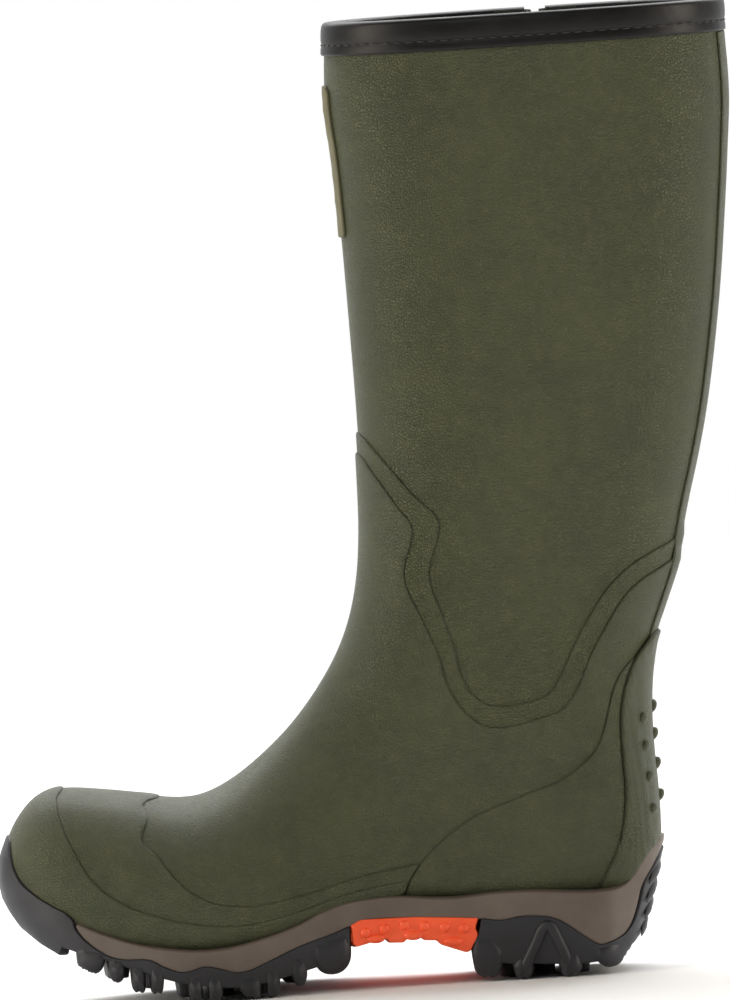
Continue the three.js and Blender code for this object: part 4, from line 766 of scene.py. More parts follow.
def skin_piece(name, depth, wall, material, fields, edge=1.0, relief=None, node=None):
    """A rubber, foam or cloth skin over the last, from depth inwards, trimmed where a field is negative."""
    base, face = skin(depth + wall), skin(depth)
    field = np.minimum.reduce([f(face) for f in fields]) if fields else np.full(face.shape[:2], 50.0)
    if relief is not None:
        face = face + outward(base, face) * relief(face).reshape(*face.shape[:2], 1) * MM
    piece = finished(name, trimmed_mesh(base, face, field, edge), material)
    return stand_for(piece, node or name)


def layer_depth(level):
    """Depth of an outside layer's face: layers lie over each other, each a step further out."""
    return -level * LAYER_STEP


def ridge_over(line, height, width):
    """A soft moulded ridge along a side view line."""
    smooth = smooth_line(line, 6)
    return lambda points: height * np.exp(-((right_of(side_view(points), smooth) / width) ** 2))


def heel_outside(points):
    return -under(points, HEEL_PANEL_LINE) - CUT_GAP


def clear_of_tuck(points):
    return above(points, TUCK_LINE)


def below(line):
    return lambda points: under(points, line)


def rubber_upper():
    """The shell, the four layers bonded over it and the heel panel with its moulded fold."""
    skin_piece("rubber_shell", 0, RUBBER_WALL, GREEN_RUBBER, [slit_clear])
    for name, level, line, material, fields in (
        ("ankle_layer", 1, ANKLE_LINE, GREEN_RUBBER, []),
        ("vamp_layer", 2, VAMP_LINE, GREEN_SMOOTH, []),
        ("toe_guard", 3, TOE_GUARD_LINE, GREEN_SMOOTH, [heel_outside]),
        ("toe_cap", 4, TOE_CAP_LINE, GREEN_SMOOTH, [heel_outside]),
    ):
        fields = [below(line), *fields, clear_of_tuck]
        skin_piece(name, layer_depth(level), LAYER_WALL, material, fields, LAYER_EDGE)
    skin_piece(
        "heel_panel", layer_depth(3), LAYER_WALL, GREEN_SMOOTH,
        [below(HEEL_PANEL_LINE), clear_of_tuck], 1.4, ridge_over(HEEL_FOLD, 1.0, 2.4),
    )


def inside_skins():
    skin_piece("insulation_sleeve", INSULATION_AT, INSULATION_WALL, NEOPRENE, [slit_clear])
    skin_piece("lining", LINING_AT, LINING_WALL, LINING_KNIT, [slit_clear], 0.6)


NUB_HEIGHTS = [79, 93, 107, 121]
SIDE_NUB_HEIGHTS = [72, 86, 100, 114]
NUB_SIZE = {"Length": 6.6, "Width": 6.0, "Height": 4.6}
SIDE_NUB_SIZE = {"Length": 6.4, "Width": 6.0, "Height": 3.4}


def kick_guard():
    """Heel kick guard: a ribbed pad with a raised edge, and round nubs for prising the boot off."""
    depth = layer_depth(4)
    base, face = skin(depth + LAYER_WALL), skin(depth - 0.45)
    field = np.minimum(under(face, KICK_LINE), clear_of_tuck(face))
    flat = in_row(face)
    ribs = 0.2 * np.sin(flat[:, 1] * 2 * math.pi / 1.9) * np.clip((field - 2.5) / 1.5, 0, 1)
    lip = 0.45 * np.exp(-(((field - 1.6) / 1.1) ** 2))
    out = outward(base, face)
    face = face + out * (ribs + lip).reshape(*face.shape[:2], 1) * MM
    pad = trimmed_mesh(base, face, field, 0.9)
    places, outs = [], []
    back = flat[:, 0] > SLIT_X
    rows = [(z, 0.0) for z in NUB_HEIGHTS] + [(z, y) for z in SIDE_NUB_HEIGHTS for y in (-20.0, 20.0)]
    for height, sideways in rows:
        gap = np.where(back, np.hypot(flat[:, 1] - sideways, flat[:, 2] - height), 1e9)
        at = int(gap.argmin())
        places.append(face.reshape(-1, 3)[at] - out.reshape(-1, 3)[at] * 0.3 * MM)
        outs.append(out.reshape(-1, 3)[at])
    middle = len(NUB_HEIGHTS)
    nubs = beads(places[:middle], outs[:middle], [(0, 0, 1)] * middle, NUB_SIZE, GREEN_SMOOTH)
    upright = [(0, 0, 1)] * (len(places) - middle)
    side_nubs = beads(places[middle:], outs[middle:], upright, SIDE_NUB_SIZE, GREEN_SMOOTH)
    pad = join_meshes([pad, nubs, side_nubs])
    stand_for(finished("heel_kick_guard", pad, GREEN_SMOOTH), "heel_kick_guard")


def bead_tree():
    """Rounded beads set on points: stitches, nubs and studs are all this, in different sizes."""
    tree = bpy.data.node_groups.new("beads_on_points", "GeometryNodeTree")
    tree.interface.new_socket("Geometry", in_out="INPUT", socket_type="NodeSocketGeometry")
    for label in ("Length", "Width", "Height"):
        tree.interface.new_socket(label, in_out="INPUT", socket_type="NodeSocketFloat")
    tree.interface.new_socket("Finish", in_out="INPUT", socket_type="NodeSocketMaterial")
    tree.interface.new_socket("Geometry", in_out="OUTPUT", socket_type="NodeSocketGeometry")
    given = add(tree, "NodeGroupInput")
    ball = add(tree, "GeometryNodeMeshUVSphere", Segments=14, Rings=9, Radius=0.5)
    size = add(
        tree, "ShaderNodeCombineXYZ", X=given.outputs["Length"], Y=given.outputs["Width"],
        Z=given.outputs["Height"],
    )
    out, along = (
        add(tree, "GeometryNodeInputNamedAttribute", {"data_type": "FLOAT_VECTOR"},
        Name=name).outputs["Attribute"]
        for name in ("out", "along")
    )
    upright = add(tree, "FunctionNodeAlignRotationToVector", {"axis": "Z"}, Vector=out)
    turned = add(
        tree, "FunctionNodeAlignRotationToVector", {"axis": "X", "pivot_axis": "Z"}, Vector=along,
        Rotation=upright.outputs["Rotation"],
    )
    placed = add(
        tree, "GeometryNodeInstanceOnPoints", Points=given.outputs["Geometry"],
        Instance=ball.outputs["Mesh"],
        Rotation=turned.outputs["Rotation"], Scale=size.outputs["Vector"],
    )
    whole = add(tree, "GeometryNodeRealizeInstances", Geometry=placed.outputs["Instances"])
    painted = add(
        tree, "GeometryNodeSetMaterial", Geometry=whole.outputs["Geometry"],
        Material=given.outputs["Finish"],
    )
    add(tree, "NodeGroupOutput", Geometry=painted.outputs["Geometry"])
    return tree


BEADS = bead_tree()


def beads(places, outs, alongs, size, material):
    """One mesh of beads at places in metres, each standing along its out and lying along its along."""
    points = bpy.data.meshes.new("places")
    points.from_pydata([tuple(p) for p in places], [], [])
    for key, values in (("out", outs), ("along", alongs)):
        data = points.attributes.new(key, "FLOAT_VECTOR", "POINT").data
        data.foreach_set("vector", np.asarray(values, np.float32).ravel())
    holder = bpy.data.objects.new("places", points)
    bpy.context.scene.collection.objects.link(holder)
    modifier = holder.modifiers.new("beads", "NODES")
    modifier.node_group = BEADS
    for socket in BEADS.interface.items_tree:
        if socket.in_out == "INPUT" and socket.name in size:
            modifier[socket.identifier] = size[socket.name] * MM
        elif socket.name == "Finish":
            modifier[socket.identifier] = material
    graph = bpy.context.evaluated_depsgraph_get()
    made = bpy.data.meshes.new_from_object(holder.evaluated_get(graph), depsgraph=graph)
    holder.modifiers.remove(modifier)
    bpy.data.objects.remove(holder)
    for key in ("out", "along"):
        if key in made.attributes:
            made.attributes.remove(made.attributes[key])
    trim = made.attributes.new("trim", "FLOAT", "POINT")
    trim.data.foreach_set("value", np.full(len(made.vertices), FAR_FROM_EDGE, np.float32))
    return made


def of_rings(rings, closed=False):
    """A closed mesh through rings of points in metres, each with an even count; its ends are zipped shut."""
    rings = np.asarray(rings)
    count, around = rings.shape[:2]
    turns = count if closed else count - 1
    r, c = np.meshgrid(np.arange(turns), np.arange(around), indexing="ij")
    a, b = r * around + c, r * around + (c + 1) % around
    d, e = ((r + 1) % count) * around + c, ((r + 1) % count) * around + (c + 1) % around
    faces = [np.stack([x.ravel() for x in (a, b, e, d)], 1)]
    if not closed:
        k = np.arange(around // 2 - 1)
        zipped = np.stack([k, k + 1, around - 2 - k, around - 1 - k], 1)
        faces += [zipped[:, ::-1], zipped + (count - 1) * around]
    return mesh_of(rings.reshape(-1, 3), np.vstack(faces))


def swept(path, binormal, section, scales=None, closed=False):
    """A section swept along a path, in millimetres; the section's second axis keeps to the binormal."""
    path = np.asarray(path, float)
    if closed:
        along = np.roll(path, -1, 0) - np.roll(path, 1, 0)
    else:
        along = np.vstack([path[1] - path[0], path[2:] - path[:-2], path[-1] - path[-2]])
    along /= np.linalg.norm(along, axis=1, keepdims=True)
    side = np.broadcast_to(np.asarray(binormal, float), path.shape)
    side = side - along * np.sum(side * along, 1, keepdims=True)
    side = side / np.linalg.norm(side, axis=1, keepdims=True)
    normal = np.cross(side, along)
    scales = np.ones(len(path)) if scales is None else np.asarray(scales)
    section = np.asarray(section, float)
    rings = path[:, None] + (
        normal[:, None] * section[None, :, :1] + side[:, None] * section[None, :, 1:]
    ) * scales[:, None, None]
    return of_rings(row_frame(rings), closed)


def oval(width, height, count=14):
    a = (np.arange(count) + 0.5) / count * 2 * math.pi
    return np.stack([width / 2 * np.cos(a), height / 2 * np.sin(a)], 1)


def rounded(points, radius, steps=5, closed=True):
    """A polygon or path with every corner rounded; a third value in a point is its own radius."""
    flat = [np.array(p[:2], float) for p in points]
    radii = [p[2] if len(p) > 2 else radius for p in points]
    found = []
    for i, (corner, r) in enumerate(zip(flat, radii)):
        if not closed and i in (0, len(flat) - 1):
            found.append(corner)
            continue
        before, after = flat[i - 1], flat[(i + 1) % len(flat)]
        p = corner + (before - corner) * min(0.5, r / np.linalg.norm(before - corner))
        q = corner + (after - corner) * min(0.5, r / np.linalg.norm(after - corner))
        for k in np.linspace(0, 1, steps):
            found.append(p * (1 - k) ** 2 + corner * 2 * k * (1 - k) + q * k * k)
    return np.array(found)


def evenly(points, count, closed=True):
    """Points spaced evenly along a line."""
    line = np.vstack([points, points[:1]]) if closed else np.asarray(points)
    lengths = np.concatenate([[0], np.cumsum(np.linalg.norm(np.diff(line, axis=0), axis=1))])
    at = np.linspace(0, lengths[-1], count, endpoint=not closed)
    return np.stack([np.interp(at, lengths, line[:, n]) for n in range(line.shape[1])], 1)


def box_distance(x, y, centre, half, radius):
    """Distance inside a rounded rectangle, positive inside."""
    qx, qy = np.abs(x - centre[0]) - half[0] + radius, np.abs(y - centre[1]) - half[1] + radius
    return radius - np.hypot(np.maximum(qx, 0), np.maximum(qy, 0)) - np.minimum(np.maximum(qx, qy), 0)


STRIP_HALF_LOW, STRIP_HALF_TOP = 14, 18


def back_strip():
    """Reinforcing strip down the back of the shaft, from the binding, over the ankle layers, to the heel."""
    depth = layer_depth(1)
    base, face = skin(depth + LAYER_WALL), skin(depth)
    flat = in_row(face)
    half = np.interp(flat[:, 2], [150, BOOT_HEIGHT - BINDING_DROP], [STRIP_HALF_LOW, STRIP_HALF_TOP])
    field = np.minimum.reduce([
        half - np.abs(flat[:, 1]), -under(face, HEEL_PANEL_LINE) - CUT_GAP, flat[:, 0] - SLIT_X,
        BOOT_HEIGHT - BINDING_DROP - CUT_GAP - flat[:, 2],
    ])
    shares = [np.clip(under(face, line) / LAYER_EDGE + 0.6, 0, 1) for line in (ANKLE_LINE, VAMP_LINE)]
    steps = sum(shares) * LAYER_STEP
    out = outward(base, face) * steps.reshape(*face.shape[:2], 1) * MM
    mesh = trimmed_mesh(base + out, face + out, field, 0.9)
    stand_for(finished("back_strip", mesh, GREEN_RUBBER), "back_strip")


def front_badge():
    """Plain olive badge bonded to the front of the shaft, with a raised border and level ribs."""
    low, high = box_in_row("front_badge")
    centre, half = (low + high) / 2, (high - low) / 2
    base, face = skin(-FIT_GAP), skin(-FIT_GAP - BADGE_WALL)
    flat = in_row(face)
    inside = box_distance(flat[:, 1], flat[:, 2], centre[1:], half[1:], 3.0)
    field = np.minimum(inside, SLIT_X - 20 - flat[:, 0])
    border = 0.35 * np.exp(-(((inside - 2.2) / 0.9) ** 2))
    wave = 0.5 + 0.5 * np.cos((flat[:, 2] - centre[2]) * 2 * math.pi / 6)
    ribs = 0.22 * wave**3 * np.clip((inside - 4.5) / 1.2, 0, 1)
    out = outward(base, face)
    face = face + out * (border + ribs - 0.3).reshape(*face.shape[:2], 1) * MM
    stand_for(finished("front_badge", trimmed_mesh(base, face, field, 0.5), OLIVE_RUBBER),
        "front_badge")


# ---- sole
EDGE_POINTS = 480
SOLE_LEVELS = np.arange(-2, 84.1, 1.35)


def sole_edge():
    """Points and outward directions evenly round the sole's edge, from the toe tip along the inner side."""
    inner, outer = smooth_line(MEDIAL_EDGE, 14), smooth_line(LATERAL_EDGE, 14)
    points = evenly(np.vstack([inner, outer[1:-1][::-1]]), EDGE_POINTS)
    along = np.roll(points, -1, 0) - np.roll(points, 1, 0)
    for _ in range(3):
        along = (np.roll(along, 1, 0) + 2 * along + np.roll(along, -1, 0)) / 4
    along /= np.linalg.norm(along, axis=1, keepdims=True)
    return points, np.stack([along[:, 1], -along[:, 0]], 1)


edge_points, edge_out = sole_edge()
heel_tip = int(edge_points[:, 0].argmax())


def sole_ring(z, grow=0.0):
    """The sole's outline at one height, in millimetres from the toe tip."""
    lengthwise = edge_out[:, 0] ** 2
    ends = np.where(edge_out[:, 0] < 0, value_at(TOE_DRAW, z), value_at(HEEL_DRAW, z))
    draw = value_at(SIDE_DRAW, z) * (1 - lengthwise) + ends * lengthwise - grow
    return np.hstack([edge_points - edge_out * draw[:, None], np.full((EDGE_POINTS, 1), z)])


rings_at = {}


def wall_at(level, x, hand):
    """The y of the sole's wall at one of the levels, half a millimetre apart."""
    if (level, hand) not in rings_at:
        ring_here = sole_ring(level / 2)
        inner, outer = ring_here[: heel_tip + 1], np.vstack([ring_here[heel_tip:], ring_here[:1]])[::-1]
        half = inner if hand < 0 else outer
        rings_at[level, hand] = half[np.argsort(half[:, 0], kind="stable")]
    half = rings_at[level, hand]
    return float(np.interp(x, half[:, 0], half[:, 1]))


def wall_side(x, z, hand):
    """The y of the sole's wall at one place: hand is -1 on the inner side and 1 on the outer."""
    level = math.floor(2 * z)
    low, high = wall_at(level, x, hand), wall_at(level + 1, x, hand)
    return low + (high - low) * (2 * z - level)


def inside_of(points, outline):
    """Distance inside a closed side view outline, positive inside."""
    closed = np.vstack([outline, outline[:1]])
    within_it = np.zeros(len(points), bool)
    for (x0, z0), (x1, z1) in zip(closed[:-1], closed[1:]):
        if z0 != z1:
            spans = (z0 > points[:, 1]) != (z1 > points[:, 1])
            within_it ^= spans & (points[:, 0] < x0 + (points[:, 1] - z0) * (x1 - x0) / (z1 - z0))
    return np.abs(right_of(points, closed)) * np.where(within_it, 1, -1)


def sole_panel(outline, proud, thick, edge):
    """A trimmed band of the sole's wall inside a side view outline."""
    face = np.stack([sole_ring(z, proud) for z in SOLE_LEVELS])
    base = np.stack([sole_ring(z, -thick) for z in SOLE_LEVELS])
    field = inside_of(face.reshape(-1, 3)[:, [0, 2]], np.array(outline, float))
    return trimmed_mesh(row_frame(base), row_frame(face), field, edge)


def sole_plate(line, first, last, thick=5.0):
    """The flat tread between the lugs, following its underside line from first to last along the foot."""
    line = smooth_line(line, 4)
    low, high = [], []
    for x in np.arange(first, last, 1.6):
        z = float(np.interp(x, line[:, 0], line[:, 1]))
        sides = [wall_side(x, z, hand) - hand * 0.4 for hand in (-1, 1)]
        across = np.linspace(0, 1, 31)
        y = sides[0] + (sides[1] - sides[0]) * across
        rise = 1.6 * np.abs(2 * across - 1) ** 10
        low.append(np.stack([np.full(31, x), y, z + rise], 1))
        high.append(np.stack([np.full(31, x), y, np.full(31, z + thick)], 1))
    low, high = np.array(low), np.array(high)
    field = np.full(low.shape[:2], 30.0)
    return trimmed_mesh(row_frame(high), row_frame(low), field, 0.1, closed=False)


def edge_lug(outline, hand, reach=19.0, proud=2.3):
    """A lug at the sole's edge: its outline is seen from the side, and its face follows the wall."""
    outline = evenly(np.asarray(outline), 56)
    along = np.roll(outline, -1, 0) - np.roll(outline, 1, 0)
    along /= np.linalg.norm(along, axis=1, keepdims=True)
    turn = np.sum(outline[:, 0] * np.roll(outline[:, 1], -1) - outline[:, 1] * np.roll(outline[:, 0], -1))
    out = np.stack([along[:, 1], -along[:, 0]], 1) * (1 if turn > 0 else -1)
    middle = outline.mean(0)
    round_over = min(3.4, 0.42 * float(np.ptp(outline[:, 0])))
    fade = 0.55 * float(np.ptp(outline[:, 1]))
    rings = []
    for inset, reached in (
        (0.98, proud), (0.7, proud), (1.0, proud - 0.1), (0.7, proud - 0.4), (0.42, proud - 0.85),
        (0.2, proud - 1.5),
        (0.05, proud - 2.3), (0, proud - 3), (0, -reach * 0.7), (0.6, -reach),
    ):
        if not rings:
            flat = middle + (outline - middle) * 0.02
        elif len(rings) == 1:
            flat = middle + (outline - out * round_over - middle) * 0.6
        else:
            flat = outline - out * round_over * inset
        lift = reached - proud * (1 - np.clip((outline[:, 1].max() - flat[:, 1]) / fade, 0.08, 1) ** 0.7)
        y = [wall_side(x, max(z, 4.0), hand) + hand * up for (x, z), up in zip(flat, lift)]
        rings.append(np.stack([flat[:, 0], y, flat[:, 1]], 1))
    return of_rings(row_frame(np.array(rings)))


def middle_lug(corners, low, high):
    """A lug under the middle of the foot: a block with drafted sides and rounded edges."""
    outline = evenly(rounded(corners, 2.2), 48)
    middle = outline.mean(0)
    rings = []
    for z, grow in ((low, -1.5), (low + 0.25, -0.8), (low + 0.9, -0.25), (low + 1.8, 0.0), (high, 1.0)):
        arm = outline - middle
        flat = outline + arm / np.linalg.norm(arm, axis=1, keepdims=True) * grow
        rings.append(np.hstack([flat, np.full((len(flat), 1), z)]))
    return of_rings(row_frame(np.array(rings)))


# Side view outlines of the edge lugs, from the toe back.
FOREFOOT_LUGS = [
    [(33.2, 30, 1), (33.4, 20, 3), (37, 16.4, 3), (43, 15.8, 3), (46.4, 20, 3), (46.6, 27, 1)],
    [(47.2, 24, 1), (47.6, 15, 2), (50, 11.4, 2), (53.4, 11.6, 2), (55.2, 15, 2), (55.4, 23, 1)],
    [(57.4, 20, 1), (57.8, 9, 2), (59.6, 6.4, 0.8), (61.2, 7.2, 0.4), (62.6, 6, 0.8), (64.2, 7.4, 1),
    (64.8, 20, 1)],
    [(66.2, 20, 1), (66.4, 7.2, 1), (68, 5.2, 0.8), (69.6, 6.1, 0.4), (71.2, 5.2, 0.8), (72.6, 8, 2),
    (72.8, 20, 1)],
    [(83.2, 13.5, 1), (84, 3.4, 1.5), (86.2, 0.6, 0.8), (87.4, 1.4, 0.4), (88.8, 0.2, 0.8),
    (90, 1.4, 1), (90.4, 14, 1)],
    [(92.4, 14, 1), (92.6, 1.6, 1), (94.4, 0, 0.8), (96, 1, 0.4), (97.6, 0, 0.8), (99.4, 2.6, 2),
    (99.6, 13.4, 1)],
    [(105, 11.6, 1), (107.4, 4, 1.5), (110.6, 0.6, 1), (112.4, 1.4, 0.4), (114, 0, 1), (116.8, 0.4, 1),
    (117.6, 12, 1)],
    [(119.2, 13, 1), (119.3, 1.2, 1), (121, 0, 0.8), (122.4, 0.9, 0.4), (124, 0, 0.8),
    (125.6, 2.4, 1.4), (126, 15.6, 1)],
    [(130.8, 18, 1), (131.2, 8, 1.4), (133.4, 3.9, 1.6), (136.4, 3.9, 1.6), (138.4, 8, 2), (138.8, 20, 1)],
    [(141.6, 23, 1), (142, 13, 4), (146, 8.4, 4), (154, 8.2, 4), (159, 13.5, 5), (159.4, 22, 3),
    (158.4, 29, 1), (150, 27, 1)],
]
HEEL_LUGS = [
    [(215.6, 24, 2), (214, 14, 2), (215.2, 4.4, 2.5), (219, 1.6, 1), (221, 2.4, 0.5), (223.4, 1.4, 1),
    (227.4, 4, 3), (229, 14, 3), (224, 22, 3)],
    [(234.6, 12, 2), (232.6, 6.6, 1), (233.6, 1.6, 1.4), (236, 0, 0.8), (237.4, 0.9, 0.4),
    (239.4, 0, 0.8), (241.6, 2, 1.6), (243.4, 12, 2)],
    [(252.4, 13, 2), (253.8, 5.4, 1), (255, 1, 1.4), (257.6, 0, 0.8), (259.2, 0.9, 0.4),
    (261.4, 0, 0.8), (264.4, 3, 1.6), (264, 12, 2)],
    [(270.4, 13, 2), (271.2, 6.2, 2), (275.4, 2.8, 2), (282, 3.4, 3), (288.4, 11.4, 3), (288, 16, 2),
    (278, 15.4, 2)],
]
MIDDLE_LUGS = [
    [52, -6, 10, 26, 11.4, 26], [68, 2, 9, 30, 5.4, 17], [84, -4, 9, 34, 1, 11], [100, 3, 9, 34, 0, 9],
    [116, -2, 9, 34, 0, 9],
    [132, 3, 8, 32, 3.8, 12],
]
HEEL_MIDDLES = [[232, 0, 9, 24, 0, 10], [248, 1, 9, 26, 0, 9], [264, 0, 9, 24, 0, 9]]
HEEL_ARCH_RIB = [[236.6, 3], [240.4, 9.6], [244.2, 16.5], [247, 22], [249.8, 24.3], [251.8, 22.6],
    [253.8, 18], [256.4, 11.6], [258.6, 4]]
HEEL_RIBS = [20.5, 28.5, 36.5, 44.5]
RIB_HALF_WIDTH = 21


def chevron(row):
    """A middle lug that points a little backwards at its centre."""
    x, y, length, width, low, high = row
    corners = [
        (x - length / 2, y - width / 2), (x, y - width / 2 - 3), (x + length / 2, y - width / 2),
        (x + length / 2 - 2, y),
        (x + length / 2, y + width / 2), (x, y + width / 2 + 3), (x - length / 2, y + width / 2),
        (x - length / 2 - 2, y),
    ]
    return middle_lug(corners, low, high)


def wall_line(line, hand, proud, steps=8):
    """A side view line laid on the sole's wall."""
    flat = smooth_line(line, steps)
    return np.array([[x, wall_side(x, z, hand) + hand * proud, z] for x, z in flat])


def tapered(count, ends=0.15):
    """Scales that narrow at both ends of a swept piece."""
    k = np.linspace(0, 1, count)
    return ends + (1 - ends) * np.clip(np.minimum(k, 1 - k) / 0.08, 0, 1) ** 0.5


meeting = [*TREAD_TOP, *ARCH_TOP[1:], *HEEL_TREAD_TOP[1:]]


def midsole():
    """Taupe foxing: the band round the foot that the upper is bonded into."""
    foxing, joint = smooth_line(FOXING_TOP, 5), smooth_line(meeting, 5)
    outline = np.vstack([
        foxing[:1] + [-1.0, -0.6], foxing[1:], [[330, foxing[-1, 1]]], [[330, joint[-1, 1] - 2]],
        joint[1:][::-1] - [0, 2],
    ])
    body = sole_panel(outline, 0.0, SHELL_INSET + 1.0, 1.5)
    stand_for(finished("midsole", body, TAUPE_RUBBER), "midsole")


def forefoot_outsole():
    """Black forefoot tread and toe bumper, with its edge and middle lugs."""
    top, tread, plate = smooth_line(BUMPER_TOP, 5), smooth_line(TREAD_TOP, 5), smooth_line(PLATE_LINE, 4)
    outline = np.vstack([top, tread[1:] - [0.1, 0.15], [[159.2, 15.5]],
        plate[(plate[:, 0] < 158) & (plate[:, 0] > 33.4)][::-1], BUMPER_LOW[::-1]])
    parts = [sole_panel(outline, 0.7, SHELL_INSET + 2.0, 0.9), sole_plate(PLATE_LINE, 27, 159)]
    parts += [edge_lug(rounded(lug, 1.5), hand) for hand in (-1, 1) for lug in FOREFOOT_LUGS]
    parts += [chevron(row) for row in MIDDLE_LUGS]
    stand_for(finished("forefoot_outsole", join_meshes(parts), BLACK_RUBBER), "forefoot_outsole")


def heel_outsole():
    """Black heel tread: lugs, the arched rib on each side and the ribs across the back."""
    tread, plate = smooth_line(HEEL_TREAD_TOP, 5), smooth_line(HEEL_PLATE_LINE, 4)
    outline = np.vstack([
        tread - [-0.1, 0.15], [[330, tread[-1, 1]], [330, plate[-1, 1]]],
        plate[plate[:, 0] > 214][::-1], [[214, 16]],
        [[217.4, 22]],
    ])
    parts = [sole_panel(outline, 0.7, SHELL_INSET + 2.0, 0.9), sole_plate(HEEL_PLATE_LINE, 214.5, 290)]
    for hand in (-1, 1):
        parts += [edge_lug(rounded(lug, 1.5), hand) for lug in HEEL_LUGS]
        rib = wall_line(HEEL_ARCH_RIB, hand, 0.6)
        parts.append(swept(rib, (0, 1, 0), oval(5.2, 3.6), tapered(len(rib), 0.5)))
    parts += [chevron(row) for row in HEEL_MIDDLES]
    for z in HEEL_RIBS:
        span = sole_ring(z, 0.7)
        span = span[(span[:, 0] > 280) & (np.abs(span[:, 1]) < RIB_HALF_WIDTH)]
        span = span[np.argsort(span[:, 1])]
        span[:, 2] -= 7.5 * (np.abs(span[:, 1]) / RIB_HALF_WIDTH) ** 2 - 2.0
        fade = np.clip(1 - (np.abs(span[:, 1]) / RIB_HALF_WIDTH) ** 4, 0.2, 1)
        parts.append(swept(span, (0, 0, 1), oval(2.6, 6.2), fade))
    stand_for(finished("heel_outsole", join_meshes(parts), BLACK_RUBBER), "heel_outsole")


ARCH_OUTLINE = [
    (152.5, 27.8, 0.5), (160, 31.0, 0.5), (164.2, 33.1, 1), (190, 32.5, 4), (219, 30.1, 0.5),
    (216.9, 25.2, 1), (218.4, 21.9, 1),
    (214.2, 14.4, 1), (211.8, 13.6, 1), (200.1, 18.2, 1), (198.6, 20.2, 0.6), (192.6, 20.6, 0.6),
    (191.4, 22.4, 0.6),
    (185.4, 22.0, 0.6), (184.2, 20.2, 0.6), (177, 20.6, 0.6), (175.6, 22.8, 0.6), (169, 21.4, 1),
    (161.5, 19.6, 1), (159.8, 21.6, 1),
    (159.6, 29.8, 1),
]
ARCH_UNDERSIDE = [[158.5, 21.2], [169, 22.6], [184, 22.8], [200, 19.6], [214.5, 14.8]]
STUDS = [166.2, 175, 184.2, 193.4, 202.6, 211.4]
STUD_SIZE = {"Length": 5.0, "Width": 5.0, "Height": 3.6}
BAR_SIZE = {"Length": 9.0, "Width": 4.4, "Height": 4.2}


def arch_plate():
    """Orange arch plate that bridges the two treads, with a row of studs and of bars on each side."""
    outline = np.array(rounded(ARCH_OUTLINE, 1.0, 4))
    parts = [sole_panel(outline, 0.5, SHELL_INSET + 2.0, 0.8), sole_plate(ARCH_UNDERSIDE, 159.5, 214)]
    for hand in (-1, 1):
        for size, row in (
            (STUD_SIZE, [(x, 28.6 - 0.12 * abs(x - 184)) for x in STUDS]),
            (BAR_SIZE, [(170.5, 23.4), (187.8, 23.6), (206, 19.6)]),
        ):
            places = row_frame([[x, wall_side(x, z, hand) + hand * 0.15, z] for x, z in row])
            parts.append(beads(places, [(0, hand, 0)] * len(row), [(1, 0, -0.05)] * len(row), size,
                ORANGE_RUBBER))
    stand_for(finished("arch_plate", join_meshes(parts), ORANGE_RUBBER), "arch_plate")


# ---- rim
SLIT_EDGE = 2 * CAP_STEPS + FLANK_STEPS  # where a ring's outer half starts, at the back


def rim_ring(z, depth):
    return ring((BOOT_HEIGHT - z) / (BOOT_HEIGHT - ANKLE_HEIGHT), depth)


def slit_half(z):
    return SLIT_GAP / 2 * max(z - SLIT_FOOT, 0) / (SLIT_LENGTH + 5)


def from_slit_to_slit(points, z, gap, count):
    """A ring's points from the slit's front edge, round the front and inner side, to its rear edge."""
    index = np.arange(SLIT_EDGE, len(points))
    x = points[SLIT_EDGE:, 0] / MM - HOME[0]
    reach = slit_half(z) + gap
    start, end = (float(np.interp(-at, -x, index)) for at in (SLIT_X - reach, SLIT_X + reach))
    at = np.linspace(start, end + len(points), count)
    low, share = np.floor(at).astype(int) % len(points), (at % 1)[:, None]
    return points[low] * (1 - share) + points[(low + 1) % len(points)] * share


STITCH_DROP, STITCH_PITCH = 10.4, 5.5
# The binding's section, from its lower outside edge: [depth under the bare shell, distance below the rim].
BINDING_OUTSIDE = [
    [-0.9, 15.2], [-1.4, 14.9], [-1.62, 14.2], [-1.66, 12.4], [-1.45, 11.0], [-1.22, 10.4],
    [-1.45, 9.8], [-1.8, 8.4], [-2.0, 6],
    [-2.05, 3.8], [-1.95, 2.0], [-1.5, 0.8], [-0.6, 0.15], [1.5, 0], [4, 0], [6.5, 0.05], [8.2, 0.4],
    [9.1, 1.2], [9.35, 2.6],
    [9.3, 4.6], [9.0, 5.4],
]
BINDING_INSIDE = [
    [-0.3, 15.2], [-0.25, 14.8], [-0.25, 14.2], [-0.25, 12.4], [-0.25, 11.0], [-0.25, 10.4],
    [-0.25, 9.8], [-0.25, 8.4], [-0.25, 6],
    [-0.25, 3.8], [-0.2, 2.2], [0, 1.5], [0.4, 1.3], [1.6, 1.25], [4, 1.25], [6, 1.25], [7.2, 1.3],
    [7.8, 1.8], [7.95, 2.9],
    [7.95, 4.6], [8.1, 5.4],
]


STITCH_SIZE = {"Length": 3.9, "Width": 0.95, "Height": 0.9}


